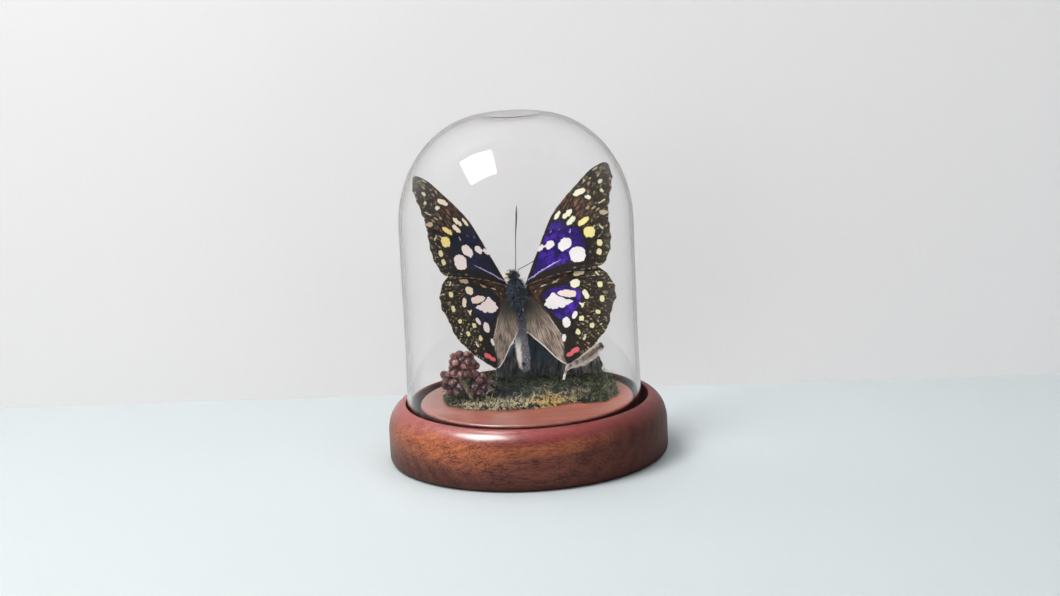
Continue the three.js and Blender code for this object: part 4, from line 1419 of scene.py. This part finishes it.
def wing_finish(name, violet_colour, bright_violet_colour, shade, pale):
    """Wing scales. The violet colours are the violet zone's painted sheen, dim and bright, shade is the
    colour of the ground, and pale the tint of the spots."""
    scales = Finish(name, {"Specular IOR Level": 0.12})
    spot, vein, margin, upper, violet, russet, outer, fold = (scales.carried(key) for key in CARRIED)
    mark = scales.carried("spot_colour", "Color")
    strength = scales.carried("spot_colour", "Alpha")
    rays = scales.carried("rays", "Vector")
    reach = scales.split(rays)[0]
    streak = scales.noise(scales.stretched((0.22, 46, 1), rays), 1.0, 4, 0.6)
    dash = scales.noise(scales.stretched((0.5, 30, 1), rays), 1.0, 3, 0.65)
    speck = scales.noise(scales.place, 2300, detail=2, roughness=0.7)
    drift = scales.noise(scales.place, 330, detail=3)

    ground = scales.mix(outer * (0.2 + streak), shade, SCALE_BROWN)
    ground = scales.mix(outer * streak.rise(0.52, 0.68) * 0.45, ground, SCALE_TAN)
    flecks = (dash * 0.85 + speck * 0.25).rise(0.62, 0.65) * outer
    ground = scales.mix(flecks * 0.9, ground, FLECK)
    reddish = russet * (streak * 0.6 + dash * 0.5).rise(0.53, 0.66) * 0.8
    ground = scales.mix(reddish, ground, SCALE_RUSSET)
    # Painted sheen: the violet zone is coloured as the light it catches, brightest in drifts partway out
    # from the root.
    painted_sheen = (violet * (0.7 + drift * 0.6) * margin.rise(0.1, 1.6)).rise(0.2, 0.95)
    brightness = drift.rise(0.38, 0.66) * reach.rise(7, 17) * (1 - reach.rise(20, 26) * 0.8)
    ground = scales.mix(painted_sheen, ground, scales.mix(brightness, violet_colour, bright_violet_colour))
    fold_colour = scales.mix((streak * 0.8 + drift * 0.3).rise(0.4, 0.7), FOLD_DARK, FOLD_PALE)
    fold_colour = scales.mix(reach.rise(8, 19), FOLD_ROOT, fold_colour)
    ground = scales.mix(fold, ground, fold_colour)
    ground = scales.mix(fold * margin.fall(0.15, 0.5) * reach.rise(17, 20), ground, FOLD_RIM)
    ground = scales.mix(vein * 0.6 * (1 - fold * 0.6), ground, VEIN_BROWN)
    halo = (spot + speck * 0.3).rise(-0.7, -0.1) * (1 - fold) * (1 - painted_sheen * 0.6) * 0.7
    ground = scales.mix(halo, ground, HALO_BROWN)

    inside = (spot + (speck - 0.5) * 0.2).rise(-0.05, 0.08) * strength
    mark = scales.mix(speck * 0.35, scales.mix(1.0, mark, pale, "MULTIPLY"), SPOT_DUST)
    colour = scales.mix(inside, ground, mark)
    fringe = margin.fall(0.1, 0.3) * dash.rise(0.5, 0.56) * 0.5
    colour = scales.mix(fringe, colour, FRINGE)

    beneath = scales.mix(streak.rise(0.35, 0.65), UNDER_DARK, UNDER_PALE)
    beneath = scales.mix(vein * 0.6, beneath, UNDER_VEIN)
    shown_through = (spot + (speck - 0.5) * 0.3).rise(-0.1, 0.25) * strength * 0.8
    beneath = scales.mix(shown_through, beneath, UNDER_SPOT)
    scales.give("Base Color", scales.mix(upper, beneath, colour))
    shine = painted_sheen * (1 - inside) * upper * (1 - fold)
    scales.give("Metallic", shine * 0.3)
    scales.give("Roughness", 0.62 - shine * 0.2 + speck * 0.1)
    scales.bump(streak * 0.6 + speck * 0.5, 0.06 * MM, 0.35)
    return scales


wing_shapes = {}
for kind in WING_SHAPES:
    wing_shapes[kind] = wing_blank(kind)
    mark_wing(wing_shapes[kind], kind)

# The right wings face the light and get the lit violet sheen; the left wings are a shaded copy, painted
# navy, with their spots painted paler to make up for the light they miss.
lit_scales = wing_finish(
    "wing scales painted lit violet",
    violet_colour=(0.014, 0.006, 0.090),
    bright_violet_colour=(0.080, 0.020, 0.420),
    shade=(0.010, 0.007, 0.004),
    pale=(0.76, 0.78, 0.75),
)
shaded_scales = wing_finish(
    "wing scales painted shaded navy",
    violet_colour=(0.007, 0.008, 0.020),
    bright_violet_colour=(0.010, 0.015, 0.050),
    shade=(0.009, 0.007, 0.006),
    pale=(0.89, 0.82, 0.76),
)
for side, pose, scales in (("left", LEFT_WINGS, shaded_scales), ("right", RIGHT_WINGS, lit_scales)):
    for kind, blank in wing_shapes.items():
        wing = blank.copy()
        wing.data = blank.data.copy()
        wing.name = f"{kind}_{side}_scaled"
        bpy.context.scene.collection.objects.link(wing)
        place = (
            Matrix.Translation(on_base(pose["root"]))
            @ Matrix.Rotation(math.radians(pose["turn"]), 4, "Z")
            @ Matrix.Rotation(math.radians(-pose["back"]), 4, "X")
            @ Matrix.Rotation(math.radians(-pose["roll"]), 4, "Y")
            @ Matrix.Scale(pose["mirror"], 4, (1, 0, 0))
        )
        wing.data.transform(place)
        if pose["mirror"] < 0:
            wing.data.flip_normals()
        smoothed(wing, 50)
        scales.on(wing)
        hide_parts(f"{kind}_{side}")
        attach(wing, "root")
for blank in wing_shapes.values():
    bpy.data.objects.remove(blank)

# ---- Setting -------------------------------------------------------------------------------
# A pale table top and a pale wall some way behind it, with soft light from a window high on the
# left, a broad screen at the left front and the room all round. None of it is part of the object.

WALL_BEHIND = 0.088
WALL_TURN = math.radians(-3.4)
TABLE_SIZE = 5.0
WALL_COLOUR = (0.75, 0.735, 0.733)
TABLE_COLOUR = (0.537, 0.588, 0.594)
MIRRORED_COLOUR = (0.05, 0.05, 0.05)
ROOM_COLOUR = (0.94, 0.96, 1.0)
ROOM_LIGHT = 0.62
ROOM_MIRRORED = 0.12
AIM = Vector((2.8 * MM, 0, 56.9 * MM))

table = start_piece("table_top", bpy.ops.mesh.primitive_plane_add, size=TABLE_SIZE)
wall = start_piece(
    "back_wall", bpy.ops.mesh.primitive_plane_add,
    size=TABLE_SIZE, location=(0, WALL_BEHIND, 0), rotation=(math.radians(90), 0, WALL_TURN),
)
for piece, colour in ((table, TABLE_COLOUR), (wall, WALL_COLOUR)):
    paint = Finish(piece.name + " paint", {"Roughness": 0.7})
    cloud = paint.noise(paint.place, 14, detail=3)
    painted = paint.mix(cloud * 0.2, colour, tuple(0.93 * c for c in colour))
    # Painted reflection: seen in a reflection, the table towards the front, and the wall at its foot,
    # are painted dark.
    in_front = (-paint.split(paint.place)[1]).rise(-0.05, 0.08)
    mirrored = paint.node("LightPath", out="Glossy Depth").math("MINIMUM", 1.0) * in_front
    paint.give("Base Color", paint.mix(mirrored * 0.7, painted, MIRRORED_COLOUR))
    paint.bump(paint.noise(paint.place, 420, detail=2), 0.25 * MM, 0.25)
    paint.on(piece)

# The wall is seen from its front only, so that a view from behind looks past it.
behind = paint.node("NewGeometry", out="Backfacing")
see_through = paint.node("BsdfTransparent")
one_sided = paint.node("MixShader", (), {0: behind, 2: see_through})
paint.tree.links.new(paint.shader.outputs[0], one_sided.socket.node.inputs[1])
paint.join(one_sided, paint.tree.nodes["Material Output"].inputs["Surface"])

world = bpy.data.worlds.new("room")
bpy.context.scene.world = world
world.use_nodes = True
room = Nodes(world.node_tree)
background = room.tree.nodes["Background"]
room.join(ROOM_COLOUR, background.inputs["Color"])

# The room behind the camera is dark where the glass and the lacquer mirror it.
outlook = room.split(room.node("TexCoord", out="Generated"))[1]
ahead = room.node("MapRange", (), {"Value": outlook, "From Min": 0.1, "From Max": -0.5})
mirrored = ahead * room.node("LightPath", out="Glossy Depth").math("MINIMUM", 1.0)
strengths = {"Value": mirrored, "To Min": ROOM_LIGHT, "To Max": ROOM_MIRRORED}
room.join(room.node("MapRange", (), strengths), background.inputs["Strength"])

# Each light: its place, its width and height, its turn, its power in watts and its colour. The
# window's light and its glint are two lights at one place, so that each has its own strength.
WINDOW = ((-0.36, -0.20, 0.73), (0.42, 0.36), math.radians(-30))
LIGHTS = {
    "window": (*WINDOW, 5.0, (1.0, 0.98, 0.96)),
    "left screen": ((-1.45, -1.45, 0.75), (2.4, 1.6), 0.0, 6.0, (1.0, 0.98, 0.97)),
    "right screen": ((1.5, -1.2, 0.8), (1.8, 1.6), 0.0, 5.0, (1.0, 0.99, 0.98)),
    "window glint": (*WINDOW, 6.6, (0.97, 0.92, 1.0)),
}
for name, (place, size, turn, power, colour) in LIGHTS.items():
    light = bpy.data.lights.new(name, "AREA")
    light.shape = "RECTANGLE"
    light.size, light.size_y = size
    light.energy = power
    light.color = colour
    holder = bpy.data.objects.new(name, light)
    aimed = (AIM - Vector(place)).to_track_quat("-Z", "Y").to_matrix().to_4x4()
    holder.matrix_world = Matrix.Translation(place) @ aimed @ Matrix.Rotation(turn, 4, "Z")
    holder.visible_glossy = "screen" not in name
    holder.visible_diffuse = "glint" not in name
    bpy.context.scene.collection.objects.link(holder)

CAMERA_DISTANCE = 0.8
CAMERA_RISE = math.radians(12.17)
CAMERA_ROLL = math.radians(-2.72)
CAMERA_LENS = 76.4
CAMERA_SENSOR = 36
camera_data = bpy.data.cameras.new("camera")
camera_data.lens = CAMERA_LENS
camera_data.sensor_width = CAMERA_SENSOR
camera = bpy.data.objects.new("camera", camera_data)
back = Vector((0, -math.cos(CAMERA_RISE), math.sin(CAMERA_RISE)))
level_right = Vector((1, 0, 0))
level_up = back.cross(level_right)
right = level_right * math.cos(CAMERA_ROLL) + level_up * math.sin(CAMERA_ROLL)
up = level_up * math.cos(CAMERA_ROLL) - level_right * math.sin(CAMERA_ROLL)
turned_axes = Matrix((right, up, back)).transposed().to_4x4()
camera.matrix_world = Matrix.Translation(AIM + back * CAMERA_DISTANCE) @ turned_axes
bpy.context.scene.collection.objects.link(camera)
bpy.context.scene.camera = camera
bpy.context.scene.view_settings.view_transform = "Standard"

bpy.context.view_layer.update()
